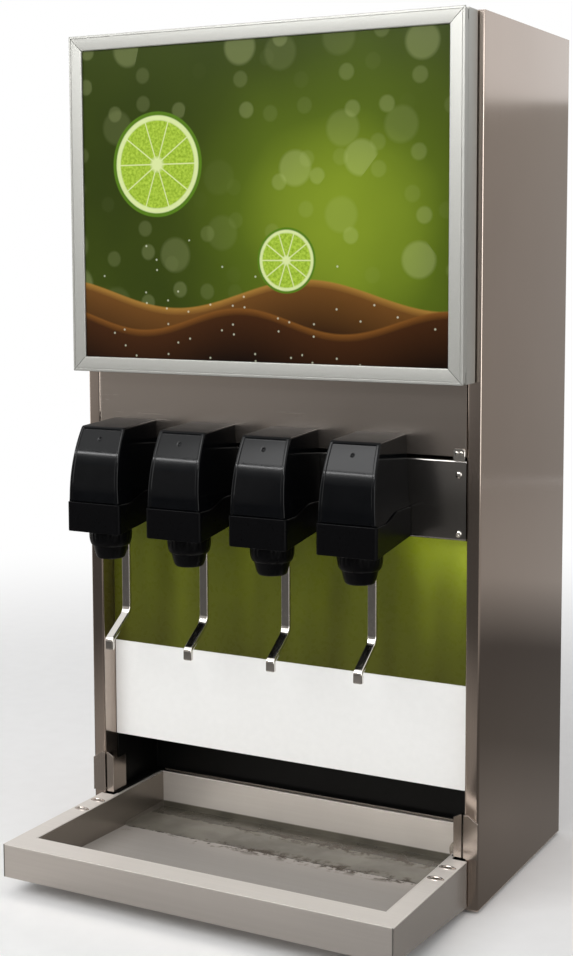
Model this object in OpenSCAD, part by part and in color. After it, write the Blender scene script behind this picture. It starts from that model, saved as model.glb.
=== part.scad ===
// Counter-top soda fountain machine with four lever valves, a light box and a slide-out drip tray.
// Millimetres, +Z up, front towards -Y. The origin is the bottom centre of the whole machine.

/* [Cabinet] */
// Width over the side panels
cab_w = 456; // [440:1:520]
// Depth from the post fronts to the rear flanges
cab_d = 250; // [240:1:320]
// Height without the feet
cab_h = 872; // [860:1:960]
// Thickness of the folded sheet
sheet_t = 1.5; // [1:0.1:2]
// Width of the front post that each side panel is folded into
post_w = 15; // [13:0.5:18]
// Depth of the return behind each post
post_return = 40; // [30:1:50]
// Width of the rear flange of each side panel
rear_flange_w = 15; // [13:0.5:20]
// Width of the folded edges of the panels
fold_w = 14; // [10:0.5:18]
// Gap between panels that are fitted side by side
panel_gap = 0.4; // [0.2:0.1:0.6]
// Height of the rubber feet
foot_h = 3; // [2:0.5:8]
// Diameter of the rubber feet
foot_d = 24; // [16:1:28]
// Distance of each foot's middle from the nearest outer edges
foot_inset = 30; // [26:1:36]

/* [Front panels] */
// Height of the valve plate's lower edge
plate_z = 368; // [340:1:380]
// Height of the valve plate
plate_h = 79; // [76:1:84]
// Thickness of the valve plate
plate_t = 2; // [1.5:0.1:3]
// Open seam between the valve plate and the upper panel
plate_seam = 3; // [2:0.5:5]
// Set-back of the splash panel behind the posts
splash_set = 22; // [15:1:28]
// Height of the printed film's lower edge
film_z = 219; // [160:1:260]
// Thickness of the printed film
film_t = 0.5; // [0.3:0.1:1]
// Width of a clip on the lower corners of the upper panel
clip_w = 12; // [10:0.5:14]
// Height of such a clip
clip_h = 12; // [10:0.5:14]

/* [Light box] */
// Set-back of the snap rails from the cabinet's sides
sign_inset = 5.5; // [2:0.5:20]
// Height of the light box above the upper panel's lower edge
sign_up = 72; // [45:1:120]
// Distance of the light box front from the post fronts
sign_proud = 35; // [30:0.5:45]
// Thickness of the foam mounting tape
tape_t = 3; // [2:0.5:5]
// Width of the foam mounting tape
tape_w = 20; // [12:1:30]
// Visible width of a snap rail
rail_w = 15.5; // [14:0.5:20]
// Wall of a snap rail
rail_t = 1.5; // [1.2:0.1:2]
// Depth of the hinge bead behind the rail front
bead_v = 8; // [7.5:0.1:9]
// Radius of the hinge bead
bead_r = 1.4; // [1.2:0.1:1.6]
// Running clearance around the hinge bead
bead_gap = 0.06; // [0.03:0.01:0.1]
// Thickness of the printed face
print_t = 1; // [0.8:0.1:1.2]
// Thickness of the opal diffuser
diffuser_t = 3; // [2:0.1:3.2]
// Number of LED strips
led_n = 4; // [2:1:6]

/* [Valves] */
// Distance between neighbouring valves
valve_pitch = 97; // [90:0.5:98]
// Distance of the first valve's middle from the left end of the plate
valve_start = 44.1; // [40:0.1:60]
// Width of a valve body
body_w = 65; // [60:0.5:66]
// Distance of the valve front from the plate
body_d = 80; // [76:0.5:90]
// Height of the seam at the valve front, above the plate's lower edge
seam_front = 21; // [18:0.5:24]
// Height of the seam at the plate, above the plate's lower edge
seam_rear = 30; // [29:0.5:32]
// Drop of the valve's front lower edge below the plate's lower edge
body_drop = 10; // [6:0.5:14]
// Width of a cover at the seam
cover_w = 62; // [58:0.5:64]
// Width of a cover at its top
cover_top_w = 54; // [52:0.5:58]
// Height of the cover's rear edge above the plate's lower edge
cover_top = 102; // [96:0.5:108]
// Fall of the cover's top from the plate to the front
cover_fall = 4; // [1:0.5:8]
// Radius of the curved cover front
cover_r = 125; // [110:1:160]
// Wall of a cover
cover_wall = 2.5; // [2:0.1:3]
// Seam between a cover and its body
cover_gap = 0.4; // [0.2:0.1:0.8]

/* [Nozzles and levers] */
// Free gap between a lever and the nozzle collar
nozzle_gap = 3.5; // [2:0.5:5]
// Radius of the nozzle collar
collar_r = 23; // [21:0.5:23]
// Radius of the nozzle outlet
outlet_r = 14.5; // [13:0.5:16]
// Length of the nozzle below its seat
nozzle_l = 29; // [22:0.5:36]
// Radius of the nozzle spigot
spigot_r = 17.5; // [16:0.5:18]
// Length of the nozzle spigot
spigot_l = 10; // [8:0.5:12]
// Wall of the nozzle
nozzle_wall = 2.5; // [2:0.1:3]
// Running clearance of nozzles and pins
run_gap = 0.06; // [0.03:0.01:0.1]
// Width of a lever
lever_w = 9; // [8:0.5:9]
// Thickness of a lever
lever_t = 5; // [4:0.5:5]
// Distance of the lever from the plate
lever_y = 19; // [18:0.5:20]
// Forward reach of the lever's tip
lever_reach = 33; // [24:0.5:40]
// Drop of the lever's tip below the plate's lower edge
lever_drop = 139; // [110:1:150]
// Length of the upright pad at the tip
pad_l = 11; // [6:0.5:15]
// Drop of the sloping part between the lever's bar and its pad
lever_fall = 23; // [16:0.5:30]
// Radius of the lever's two bends, at the middle of the bar
lever_bend = 6; // [5:0.5:7]
// Lever travel in degrees
lever_turn = 8; // [4:0.5:8]
// Radius of a lever pin
pin_r = 2; // [1.5:0.1:2.2]
// Height of the lever pin above the plate's lower edge
pin_up = 6; // [5.5:0.1:6.5]
// Height of the switch button above the lever pin
button_up = 11; // [10:0.5:12]
// Free gap between a resting lever and its button
button_gap = 0.4; // [0.3:0.1:0.6]

/* [Drip tray] */
// Set-back of the tray's sides from the cabinet's sides
tray_inset = 11; // [3:0.5:16]
// Reach of the tray in front of the posts
tray_reach = 176; // [150:1:200]
// Height of the rim
rim_z = 50; // [46:0.5:56]
// Distance of the basin from the side walls of the niche
basin_inset = 15.1; // [13:0.1:26]
// Width of the front rim
rim_front = 30; // [20:0.5:40]
// Depth of the basin behind the post fronts
basin_rear = 91; // [80:0.5:100]
// Height of the floor at the front wall
floor_front = 17; // [14:0.5:20]
// Height of the floor at the rear wall
floor_rear = 9; // [7:0.5:12]
// Height of the skirt's lower edge at the front
skirt_front = 16; // [10:0.5:18]
// Height of the skirt's lower edge at the posts
skirt_rear = 3; // [2:0.5:8]
// Width of the hem that slides in the runners
hem_w = 5; // [4:0.5:6]
// Height of the hem
hem_h = 4; // [3:0.5:5]
// Free gap between the tray and its runners and posts
slide_gap = 0.3; // [0.2:0.1:0.5]
// Height of the niche under the splash panel
niche_h = 112; // [100:1:130]
// Height of a tray bracket
bracket_h = 44; // [36:0.5:50]
// Width of a tray bracket
bracket_w = 26; // [22:0.5:27]
// Depth of a tray bracket's return
bracket_return = 24; // [12:0.5:30]
// Cut-off at a bracket's upper corner
bracket_cut = 7; // [3:0.5:10]

/* [Lines and power] */
// Radius of the tube ends for the supply hoses
inlet_r = 4.75; // [4:0.05:5]
// Length of the tube ends below the inlet shelf
inlet_l = 30; // [20:1:34]
// Outer radius of the inner lines
line_r = 4; // [3:0.25:4.5]
// Bend radius of the inner lines
line_bend = 18; // [14:0.5:20]
// Distance of the syrup lines from the post fronts
syrup_y = 150; // [140:1:155]
// Distance of the soda lines behind the syrup lines
line_step = 35; // [30:1:45]
// Outer radius of the drain spigot
drain_r = 8; // [6:0.5:9]
// Length of the drain spigot behind the tray
drain_l = 34; // [30:1:40]
// Radius of the bolt holes in the base
bolt_r = 3.5; // [2.5:0.1:4.5]

/* [Hidden] */
$fn = 64;
valve_n = 4;

// Colours
steel = [0.70, 0.67, 0.63];
polished = [0.82, 0.80, 0.77];
silver = [0.76, 0.76, 0.74];
black = [0.06, 0.06, 0.055];
green = [0.42, 0.46, 0.13];
white = [0.92, 0.92, 0.90];
brass = [0.72, 0.56, 0.28];
clear_blue = [0.75, 0.82, 0.86];

// Fasteners
screw_r = 1.9;
screw_gap = 0.15;
screw_head_r = 3.5;
screw_head_h = 1.6;
screw_crown_r = 2.45;
screw_l = 9;
rivet_r = 2;
rivet_foot_r = 3.2;
rivet_h = 1;

// Overrun of a cut past the face that it opens, and lap of shapes that are joined
cut = 1;
lap = 0.5;

// Cabinet faces, measured from the post fronts and the cabinet's underside
front_y = (tray_reach - cab_d - screw_head_h) / 2;
half_w = cab_w / 2;
wall_in = half_w - sheet_t - panel_gap;
post_in = half_w - post_w;
panel_half = post_in - panel_gap;
back_in = cab_d - 2 * sheet_t;
upper_z = plate_z + plate_h + plate_seam;
plate_top = plate_z + plate_h;
tab_w = 16;
tab_gap = 2;
plate_screw_inset = 7.6;
plate_screw_low = 6.8;
plate_screw_high = 14.5;
plate_screw_x = panel_half - plate_screw_inset;
plate_screw_z = [plate_z + plate_screw_low, plate_top - plate_screw_high];
back_screw_end = 60;
back_screw_x = half_w - rear_flange_w / 2;
back_screw_z = [back_screw_end, cab_h / 2, cab_h - back_screw_end];
clip_inset = 1;
clip_low = plate_top - 1;
clip_rivet_step = 4.8;
clip_rivet_x = [clip_w - clip_rivet_step, clip_w + clip_rivet_step] / 2;

// Niche and tray
niche_in = panel_half - sheet_t;
niche_front = splash_set + sheet_t;
tray_half = half_w - tray_inset;
basin_half = niche_in - basin_inset;
basin_front = -(tray_reach - rim_front);
hem_out = basin_half + hem_w;
tray_end = basin_rear + hem_w;
niche_room = 6;
niche_back = tray_end + niche_room;
post_clear = 2;
runner_front = sheet_t + post_clear;
runner_low = rim_z - hem_h - slide_gap;
runner_high = rim_z + slide_gap;
runner_lap = 3;
runner_step = 1;
bracket_z = runner_high + sheet_t + slide_gap;
bracket_in = half_w - bracket_w;
bracket_slope = 4;
rivet_first = 25;
rivet_step = 30;
rivet_y = [-rivet_first, -rivet_first - rivet_step];
drain_inset = 24;
drain_gap = 1;
drain_step = 0.8;
drain_neck = drain_r - drain_step;
drain_flange = drain_r + 2 * sheet_t;
drain_nut = 4;
hose_room = 4;
drain_x = basin_half - drain_inset;
drain_z = floor_rear + drain_flange + drain_gap;

// Light box, measured inwards from the rail's outer edge and back from its front
sign_w = cab_w - 2 * sign_inset;
sign_z = upper_z + sign_up;
sign_h = cab_h - sign_z;
sign_d = sign_proud - tape_t;
bead_u = rail_t;
rail_lip_v = 2.7;
rail_edge = 0.9;
rail_fit = 0.3;
mitre_gap = 0.3;
notch_gap = 0.6;
corner_notch = bead_u + notch_gap;
bead_short = 12;
print_v = rail_lip_v + rail_fit;
diffuser_v = print_v + print_t;
ledge_v = diffuser_v + diffuser_t;
socket_u = 5;
ledge_u = 13;
sheet_edge = socket_u + rail_fit;
housing_u = 0.5;
housing_fit = 0.4;
housing_v = bead_v + rail_t + bead_gap + housing_fit;
led_w = 10;
led_t = 1.6;
led_chip = 3;
led_chips = 10;

// Valves
seam_z0 = plate_z + seam_front;
seam_z1 = plate_z + seam_rear;
seam_flat_front = 18;
seam_flat_rear = 26;
seam_y0 = -(body_d - seam_flat_front);
seam_y1 = -seam_flat_rear;
seam_steps = 8;
cover_z = plate_z + cover_top;
cover_set = 1;
cover_front = body_d - cover_set;
cover_straight = 11;
cover_bend_z = seam_z0 + cover_straight;
body_low = plate_z - body_drop;
body_rise = 11;
seat_drop = 1;
seat_z = body_low - seat_drop;
nozzle_y = lever_y + lever_t / 2 + nozzle_gap + collar_r;
nozzle_skirt = 8.3;
nozzle_lip = 1.2;
collar_draft = 1;
pin_z = plate_z + pin_up;
eye_wall = 3;
eye_r = pin_r + eye_wall;
button_z = pin_z + button_up;
button_half = 1.6;
button_half_h = 1.2;
button_fit = 0.15;
button_out = 5.1;
button_in = 3;
button_hole = 6;
arm_over = 4;
arm_top = button_z + arm_over;
slot_gap = 0.9;
slot_side = 0.75;
swing_front = max(eye_r, lever_t / 2 + (arm_top - pin_z) * tan(lever_turn));
swing_rear = max(eye_r, lever_t / 2 + (pin_z - body_low) * tan(lever_turn));
slot_front = lever_y + swing_front + slot_gap;
slot_rear = lever_y - swing_rear - slot_gap;
slot_half = lever_w / 2 + slot_side;
pin_grip = 9;
pin_half = slot_half + pin_grip;
switch_rear = lever_y + lever_t / 2 + button_gap + button_out;
switch_l = 18;
switch_half = 5;
switch_under = 8;
switch_over = 8;
switch_low = button_z - switch_under;
switch_high = button_z + switch_over;
switch_fit = 0.4;
bend_steps = 6;
lever_lean = atan2(lever_reach, lever_fall);
lever_run = lever_bend * tan(lever_lean / 2);
lever_low = plate_z - lever_drop;
knee_z = lever_low + pad_l + lever_fall + lever_run;
pad_z = lever_low + pad_l - lever_run;
port_x = 16.5;
port_r = 5;
port_up = 16;
port_z = plate_z + port_up;
port_fit = 0.2;
port_reach = 12;
coil_r = 8;
coil_h = 38;
coil_y = 15;
core_over = 4;
block_half = 24;
block_d = 30;
block_inset = 6;
block_low = plate_z + sheet_t + block_inset;
block_top = plate_top - sheet_t - block_inset;
line_up = 34;
line_z = plate_z + line_up;

// Lines
soda_y = syrup_y + line_step;
shelf_up = 4;
shelf_z = niche_h + sheet_t + shelf_up;
shelf_t = 2;
shelf_edge = 20;
shelf_rear = soda_y + shelf_edge;
shelf_over = 28;
shelf_left = valve_x(0) + port_x - shelf_over;
shelf_right = valve_x(valve_n - 1) + port_x + shelf_over;
shelf_drop = 26;
nut_r = 8;
nut_h = 6;
shank_wall = 1.25;
shank_r = inlet_r + shank_wall;
fitting_h = 4;
manifold_half = 12;
manifold_drop = 60;
manifold_z = plate_z - manifold_drop;
manifold_over = 25;
feed_x = (valve_x(0) + valve_x(valve_n - 1)) / 2;
bolt_inset = 38;
bolt_pitch = 70;
bolt_x = half_w - bolt_inset;
service_side = 18;
service_gap = 14;
service_edge = 26;
bolt_gap = 2;
service_half = bolt_x - service_side;
service_front = niche_back + service_gap;
service_rear = cab_d - service_edge;
bolt_y = [service_front + bolt_gap, service_front + bolt_gap + bolt_pitch];

// Power
inlet_inset = 78;
inlet_x = -half_w + inlet_inset;
inlet_z = 170;
inlet_half = 14;
inlet_high = 11;
inlet_deep = 24;
inlet_rim = 10;
inlet_wall = 2;
blade_t = 2;
blade_w = 5;
blade_l = 13;
trafo_up = 113;
trafo_x = inlet_x;
trafo_z = plate_top + trafo_up;
trafo_w = 76;
trafo_h = 64;
trafo_d = 50;
trafo_foot = 14;
vent_n = 9;
vent_w = 70;
vent_h = 4;
vent_step = 12;
vent_drop = 190;
vent_x = 91;
vent_z = cab_h - vent_drop;

function valve_x(i) = -panel_half + valve_start + i * valve_pitch;
function ease(t) = t * t * (3 - 2 * t);
function seam_line(lift) = [
    for (k = [0 : seam_steps], s = k / seam_steps)
        [seam_y0 + s * (seam_y1 - seam_y0), seam_z0 + ease(s) * (seam_z1 - seam_z0) + lift]
];

// Moves a shape from cabinet measures to the machine's origin
module place() {
    translate([0, front_y, foot_h]) children();
}

// A box between two opposite corners
module block(lo, hi) {
    translate(lo) cube(hi - lo);
}

// A rod of given radius along X, centred on p
module rod_x(p, r, l) {
    translate(p) rotate([0, 90, 0]) cylinder(r = r, h = l, center = true);
}

// A rod from p towards +Y
module rod_y(p, r, l) {
    translate(p) rotate([-90, 0, 0]) cylinder(r = r, h = l);
}

// A rod from p towards +Z
module rod_z(p, r, l) {
    translate(p) cylinder(r = r, h = l);
}

// A side outline, given as [y, z] points, made w wide along X about its middle
module side_shape(points, w) {
    rotate([90, 0, 90]) translate([0, 0, -w / 2]) linear_extrude(w) polygon(points);
}

// The right-hand shape for side 1, its mirror image for side -1
module handed(side) {
    mirror([side < 0 ? 1 : 0, 0, 0]) children();
}

module side_panel(side) {
    color(steel) handed(side) difference() {
        union() {
            block([half_w - sheet_t, 0, 0], [half_w, cab_d, cab_h]);
            block([post_in, 0, 0], [half_w, sheet_t, cab_h]);
            block([post_in, 0, sheet_t + panel_gap],
                  [post_in + sheet_t, post_return, cab_h - sheet_t - panel_gap]);
            block([half_w - rear_flange_w, cab_d - sheet_t, 0], [half_w, cab_d, cab_h]);
            block([post_in - tab_w, plate_t, plate_z + sheet_t + tab_gap],
                  [post_in + sheet_t, plate_t + sheet_t, plate_top - sheet_t - tab_gap]);
        }
        for (z = plate_screw_z)
            rod_y([plate_screw_x, 0, z], screw_r + screw_gap, plate_t + 2 * sheet_t);
        for (z = back_screw_z)
            rod_y([back_screw_x, cab_d - 2 * sheet_t, z], screw_r + screw_gap, 3 * sheet_t);
    }
}

module back_panel() {
    color(steel) difference() {
        block([-wall_in, back_in, 0], [wall_in, cab_d - sheet_t, cab_h]);
        for (side = [-1, 1], z = back_screw_z)
            rod_y([side * back_screw_x, back_in - sheet_t, z], screw_r + screw_gap, 3 * sheet_t);
        for (side = [-1, 1], k = [0 : vent_n - 1])
            translate([side * vent_x, back_in - sheet_t, vent_z + k * vent_step])
                block([-vent_w / 2, 0, 0], [vent_w / 2, 3 * sheet_t, vent_h]);
        translate([inlet_x, 0, inlet_z])
            block([-inlet_half - panel_gap, back_in - sheet_t, -inlet_high - panel_gap],
                  [inlet_half + panel_gap, cab_d, inlet_high + panel_gap]);
    }
}

module top_panel() {
    front = sheet_t + panel_gap;
    rear = back_in - panel_gap;
    color(steel) union() {
        block([-wall_in, front, cab_h - sheet_t], [wall_in, rear, cab_h]);
        for (side = [-1, 1]) handed(side)
            block([wall_in - sheet_t, post_return + panel_gap, cab_h - fold_w], [wall_in, rear, cab_h]);
    }
}

module base_pan() {
    front = sheet_t + panel_gap;
    rear = back_in - panel_gap;
    color(steel) difference() {
        union() {
            block([-wall_in, front, 0], [wall_in, rear, sheet_t]);
            for (side = [-1, 1]) handed(side)
                block([wall_in - sheet_t, post_return + panel_gap, 0], [wall_in, rear, fold_w]);
        }
        block([-service_half, service_front, -sheet_t], [service_half, service_rear, 2 * sheet_t]);
        for (side = [-1, 1], y = bolt_y)
            rod_z([side * bolt_x, y, -sheet_t], bolt_r, 3 * sheet_t);
    }
}

module upper_front_panel() {
    color(steel) union() {
        block([-panel_half, 0, upper_z], [panel_half, sheet_t, cab_h]);
        block([-panel_half, 0, upper_z], [panel_half, fold_w, upper_z + sheet_t]);
        for (side = [-1, 1]) handed(side)
            block([panel_half - sheet_t, 0, upper_z],
                  [panel_half, fold_w, cab_h - sheet_t - panel_gap]);
    }
}

module valve_plate() {
    color(steel) difference() {
        union() {
            block([-panel_half, 0, plate_z], [panel_half, plate_t, plate_top]);
            block([-panel_half, 0, plate_z], [panel_half, niche_front, plate_z + sheet_t]);
            block([-panel_half, 0, plate_top - sheet_t], [panel_half, fold_w, plate_top]);
        }
        for (side = [-1, 1], z = plate_screw_z)
            rod_y([side * plate_screw_x, -plate_t, z], screw_r + screw_gap, 3 * plate_t);
        for (i = [0 : valve_n - 1], side = [-1, 1])
            rod_y([valve_x(i) + side * port_x, -plate_t, port_z], port_r + port_fit, 3 * plate_t);
    }
}

module splash_panel() {
    low = niche_h + sheet_t + panel_gap;
    high = plate_z - panel_gap;
    color(white) union() {
        block([-panel_half, splash_set, niche_h], [panel_half, niche_front, high]);
        for (side = [-1, 1]) handed(side)
            block([panel_half - sheet_t, splash_set, low], [panel_half, splash_set + fold_w, high]);
    }
}

module splash_film() {
    color(green)
        block([-panel_half, splash_set - film_t, film_z], [panel_half, splash_set, plate_z - panel_gap]);
}

module tray_niche() {
    corner = [panel_half, niche_back + sheet_t, niche_h + sheet_t];
    color(black) difference() {
        union() {
            for (side = [-1, 1]) handed(side) block([niche_in, niche_front, sheet_t], corner);
            block([-panel_half, niche_back, sheet_t], corner);
            block([-panel_half, niche_front, niche_h], corner);
        }
        rod_y([drain_x, niche_back - sheet_t, drain_z], drain_r + hose_room, 3 * sheet_t);
    }
}

module panel_clips() {
    color(polished) for (side = [-1, 1]) handed(side)
        translate([panel_half - clip_w - clip_inset, 0, clip_low]) union() {
            block([0, -sheet_t, 0], [clip_w, 0, clip_h]);
            for (x = clip_rivet_x)
                rod_y([x, -sheet_t - rivet_h, clip_h - 2 * rivet_r], rivet_r, rivet_h);
        }
}

module tray_bracket(side) {
    top = bracket_z + bracket_h;
    color(polished) handed(side) union() {
        rotate([90, 0, 0]) linear_extrude(sheet_t) polygon([
            [bracket_in, bracket_z], [half_w, bracket_z], [half_w, top - bracket_cut],
            [half_w - bracket_cut - bracket_slope, top], [bracket_in + bracket_cut, top],
            [bracket_in, top - bracket_slope]
        ]);
        block([bracket_in, -sheet_t, bracket_z], [bracket_in + sheet_t, bracket_return, top - bracket_cut]);
    }
}

module tray_runners() {
    lap_in = hem_out - runner_lap;
    corner = [niche_in, niche_back, runner_high + sheet_t];
    color(black) for (side = [-1, 1]) handed(side) union() {
        block([lap_in, runner_front, runner_low - sheet_t], [niche_in, niche_back, runner_low]);
        block([lap_in + runner_step, runner_front, runner_high], corner);
        block([niche_in - sheet_t, runner_front, runner_low - sheet_t], corner);
    }
}

module feet() {
    color(black) for (x = [-1, 1] * (half_w - foot_inset), y = [foot_inset, cab_d - foot_inset])
        rod_z([x, y, -foot_h], foot_d / 2, foot_h);
}

// A pan-head screw from the head's underside at p, its shank along +Y
module screw(p) {
    rod_y(p, screw_r, screw_l);
    translate(p) rotate([90, 0, 0]) cylinder(r1 = screw_head_r, r2 = screw_crown_r, h = screw_head_h);
}

module cabinet_screws() {
    color(polished) {
        for (side = [-1, 1], z = plate_screw_z) screw([side * plate_screw_x, 0, z]);
        for (side = [-1, 1], z = back_screw_z)
            translate([side * back_screw_x, cab_d, z]) rotate([0, 0, 180]) screw([0, 0, 0]);
    }
}

// The outside of the basin, open upwards to the height top
module basin_outside(top) {
    side_shape([
        [basin_front - sheet_t, floor_front - sheet_t], [basin_front - sheet_t, top],
        [basin_rear + sheet_t, top], [basin_rear + sheet_t, floor_rear - sheet_t]
    ], 2 * (basin_half + sheet_t));
}

// The basin of the tray, with a square hole that keeps the drain spigot from turning
module drip_tray() {
    hole = drain_neck + screw_gap;
    color(polished) difference() {
        basin_outside(rim_z);
        side_shape([
            [basin_front, floor_front], [basin_front, rim_z + sheet_t],
            [basin_rear, rim_z + sheet_t], [basin_rear, floor_rear]
        ], 2 * basin_half);
        block([drain_x - hole, basin_rear - sheet_t, drain_z - hole],
              [drain_x + hole, basin_rear + 2 * sheet_t, drain_z + hole]);
    }
}

// The folded rim that the basin is welded into: flange, apron, side skirts and rear hem
module tray_rim() {
    rim_low = rim_z - sheet_t;
    gap_y = -sheet_t - slide_gap;
    color(polished) difference() {
        union() {
            block([-tray_half, -tray_reach, rim_low], [tray_half, gap_y, rim_z]);
            block([-hem_out, -tray_reach + rim_front / 2, rim_z - hem_h], [hem_out, tray_end, rim_z]);
            block([-tray_half, -tray_reach, skirt_front], [tray_half, -tray_reach + sheet_t, rim_z]);
            for (side = [-1, 1]) handed(side) {
                translate([tray_half - sheet_t / 2, 0, 0]) side_shape([
                    [-tray_reach, skirt_front], [-tray_reach, rim_z], [gap_y, rim_z], [gap_y, skirt_rear]
                ], sheet_t);
                block([basin_half + sheet_t, gap_y - sheet_t, skirt_rear + sheet_t],
                      [tray_half, gap_y, rim_z]);
            }
        }
        basin_outside(rim_z + sheet_t);
    }
}

module tray_rivets() {
    color(polished) for (side = [-1, 1], y = rivet_y)
        translate([side * (basin_half + tray_half) / 2, y, rim_z])
            cylinder(r1 = rivet_foot_r, r2 = rivet_r, h = rivet_h);
}

module drain_spigot() {
    start = basin_rear - sheet_t;
    outside = basin_rear + sheet_t;
    color(polished) difference() {
        union() {
            rod_y([drain_x, outside, drain_z], drain_r, drain_l - sheet_t);
            rod_y([drain_x, start, drain_z], drain_flange, sheet_t);
            block([drain_x - drain_neck, basin_rear, drain_z - drain_neck],
                  [drain_x + drain_neck, outside, drain_z + drain_neck]);
            rod_y([drain_x, outside, drain_z], drain_flange, drain_nut);
        }
        rod_y([drain_x, start - sheet_t, drain_z], drain_r - sheet_t, drain_l + 3 * sheet_t);
    }
}

// Puts a light box shape, drawn in X and Z about its middle with its front at y = 0, on the cabinet
module on_sign() {
    translate([0, -sign_proud, sign_z + sign_h / 2]) children();
}

// A frame between two insets from the rails' outer edge, from depth v0 to v1
module sign_ring(u0, u1, v0, v1) {
    x = sign_w / 2;
    z = sign_h / 2;
    difference() {
        block([-x + u0, v0, -z + u0], [x - u0, v1, z - u0]);
        block([-x + u1, v0 - cut, -z + u1], [x - u1, v1 + cut, z - u1]);
    }
}

// A sheet that fills the light box inside an inset, from depth v0 to v1
module sign_sheet(u, v0, v1) {
    block([-sign_w / 2 + u, v0, -sign_h / 2 + u], [sign_w / 2 - u, v1, sign_h / 2 - u]);
}

// The hinge lines of the four rails as rods of radius r, cut short at the corners
module bead_lines(r, short) {
    x = sign_w / 2 - bead_u;
    z = sign_h / 2 - bead_u;
    for (side = [-1, 1]) {
        rod_x([0, bead_v, side * z], r, sign_w - 2 * short);
        rod_z([side * x, bead_v, -sign_h / 2 + short], r, sign_h - 2 * short);
    }
}

module sign_housing() {
    color(silver) on_sign() difference() {
        union() {
            sign_ring(housing_u, housing_u + rail_t, housing_v, sign_d);
            sign_ring(bead_u + bead_gap, socket_u, bead_v - bead_r - rail_t, housing_v + rail_t);
            sign_ring(socket_u - lap, ledge_u, ledge_v, ledge_v + rail_t);
            sign_sheet(housing_u, sign_d - rail_t, sign_d);
        }
        bead_lines(bead_r + bead_gap, 0);
    }
}

module sign_tape() {
    color(black) on_sign() sign_ring(ledge_u, ledge_u + tape_w, sign_d, sign_d + tape_t);
}

module sign_print() {
    color(green) on_sign() sign_sheet(sheet_edge, print_v, print_v + print_t);
}

module sign_diffuser() {
    color(white) on_sign() sign_sheet(sheet_edge, diffuser_v, diffuser_v + diffuser_t);
}

module led_strips() {
    half = sign_w / 2 - 2 * ledge_u;
    back = sign_d - rail_t;
    step = sign_h / (led_n + 1);
    color(white) on_sign() for (k = [1 : led_n]) translate([0, 0, k * step - sign_h / 2]) union() {
        block([-half, back - led_t, -led_w / 2], [half, back, led_w / 2]);
        for (c = [0 : led_chips - 1])
            translate([half * ((2 * c + 1) / led_chips - 1), 0, 0])
                block([-led_chip / 2, back - 2 * led_t, -led_chip / 2],
                      [led_chip / 2, back - led_t, led_chip / 2]);
    }
}

// One snap rail of given length, its outer edge at z = 0 and its inner edge towards -Z
module snap_rail(l) {
    difference() {
        intersection() {
            union() {
                side_shape([
                    [rail_edge, 0], [0, -rail_edge], [0, -rail_w + rail_edge], [rail_edge, -rail_w],
                    [rail_lip_v, -rail_w], [rail_lip_v, -rail_w + rail_t], [rail_t, -rail_w + rail_t],
                    [rail_t, -rail_t], [bead_v, -rail_t], [bead_v - rail_t, 0]
                ], l);
                rod_x([0, bead_v, -bead_u], bead_r, l - 2 * bead_short);
            }
            rotate([90, 0, 0]) translate([0, 0, -2 * bead_v]) linear_extrude(3 * bead_v) polygon([
                [-l / 2 + mitre_gap / 2, 0], [l / 2 - mitre_gap / 2, 0],
                [l / 2 - 2 * rail_w - mitre_gap / 2, -2 * rail_w],
                [-l / 2 + 2 * rail_w + mitre_gap / 2, -2 * rail_w]
            ]);
        }
        for (side = [-1, 1]) handed(side)
            block([l / 2 - corner_notch, rail_t, -rail_t - lap], [l / 2 + cut, 2 * bead_v, cut]);
    }
}

// The rail on the side of the light box that a turn about Y points to, 0 being the top
module sign_rail(turn) {
    upright = abs(turn) == 90;
    color(silver) on_sign() rotate([0, turn, 0])
        translate([0, 0, (upright ? sign_w : sign_h) / 2]) snap_rail(upright ? sign_h : sign_w);
}

module transformer() {
    front = back_in - trafo_d;
    color(black) translate([trafo_x, 0, trafo_z]) union() {
        block([-trafo_w / 2, front, -trafo_h / 2], [trafo_w / 2, back_in, trafo_h / 2]);
        block([-trafo_w / 4, front - trafo_foot / 2, -trafo_h / 4], [trafo_w / 4, front, trafo_h / 4]);
        for (side = [-1, 1]) handed(side)
            block([trafo_w / 2, back_in - sheet_t, -trafo_h / 4],
                  [trafo_w / 2 + trafo_foot, back_in, trafo_h / 4]);
    }
}

module power_inlet() {
    face = cab_d - sheet_t;
    color(black) translate([inlet_x, 0, inlet_z]) union() {
        difference() {
            union() {
                block([-inlet_half, face - inlet_deep, -inlet_high], [inlet_half, face, inlet_high]);
                block([-inlet_half - inlet_rim, face, -inlet_high - inlet_wall],
                      [inlet_half + inlet_rim, face + inlet_wall, inlet_high + inlet_wall]);
            }
            block([-inlet_half + inlet_wall, face - inlet_deep + inlet_wall, -inlet_high + inlet_wall],
                  [inlet_half - inlet_wall, face + 2 * inlet_wall, inlet_high - inlet_wall]);
        }
        for (x = [-1, 0, 1] * inlet_half / 2)
            translate([x, face - inlet_deep + inlet_wall / 2, x == 0 ? 0 : -inlet_high / 3])
                block([-blade_t / 2, 0, 0], [blade_t / 2, blade_l, blade_w]);
    }
}

// The places of all tube ends on the inlet shelf, syrup first and soda last
function inlet_places() = concat(
    [for (i = [0 : valve_n - 1]) [valve_x(i) + port_x, syrup_y]], [[feed_x, soda_y]]
);

module inlet_shelf() {
    front = niche_back + sheet_t;
    color(steel) difference() {
        union() {
            block([shelf_left, front, shelf_z - shelf_t], [shelf_right, shelf_rear, shelf_z]);
            block([shelf_left, front, shelf_z - shelf_drop], [shelf_right, front + shelf_t, shelf_z]);
        }
        for (p = inlet_places())
            rod_z([p[0], p[1], shelf_z - 2 * shelf_t], shank_r + screw_gap, 3 * shelf_t);
    }
}

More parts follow.
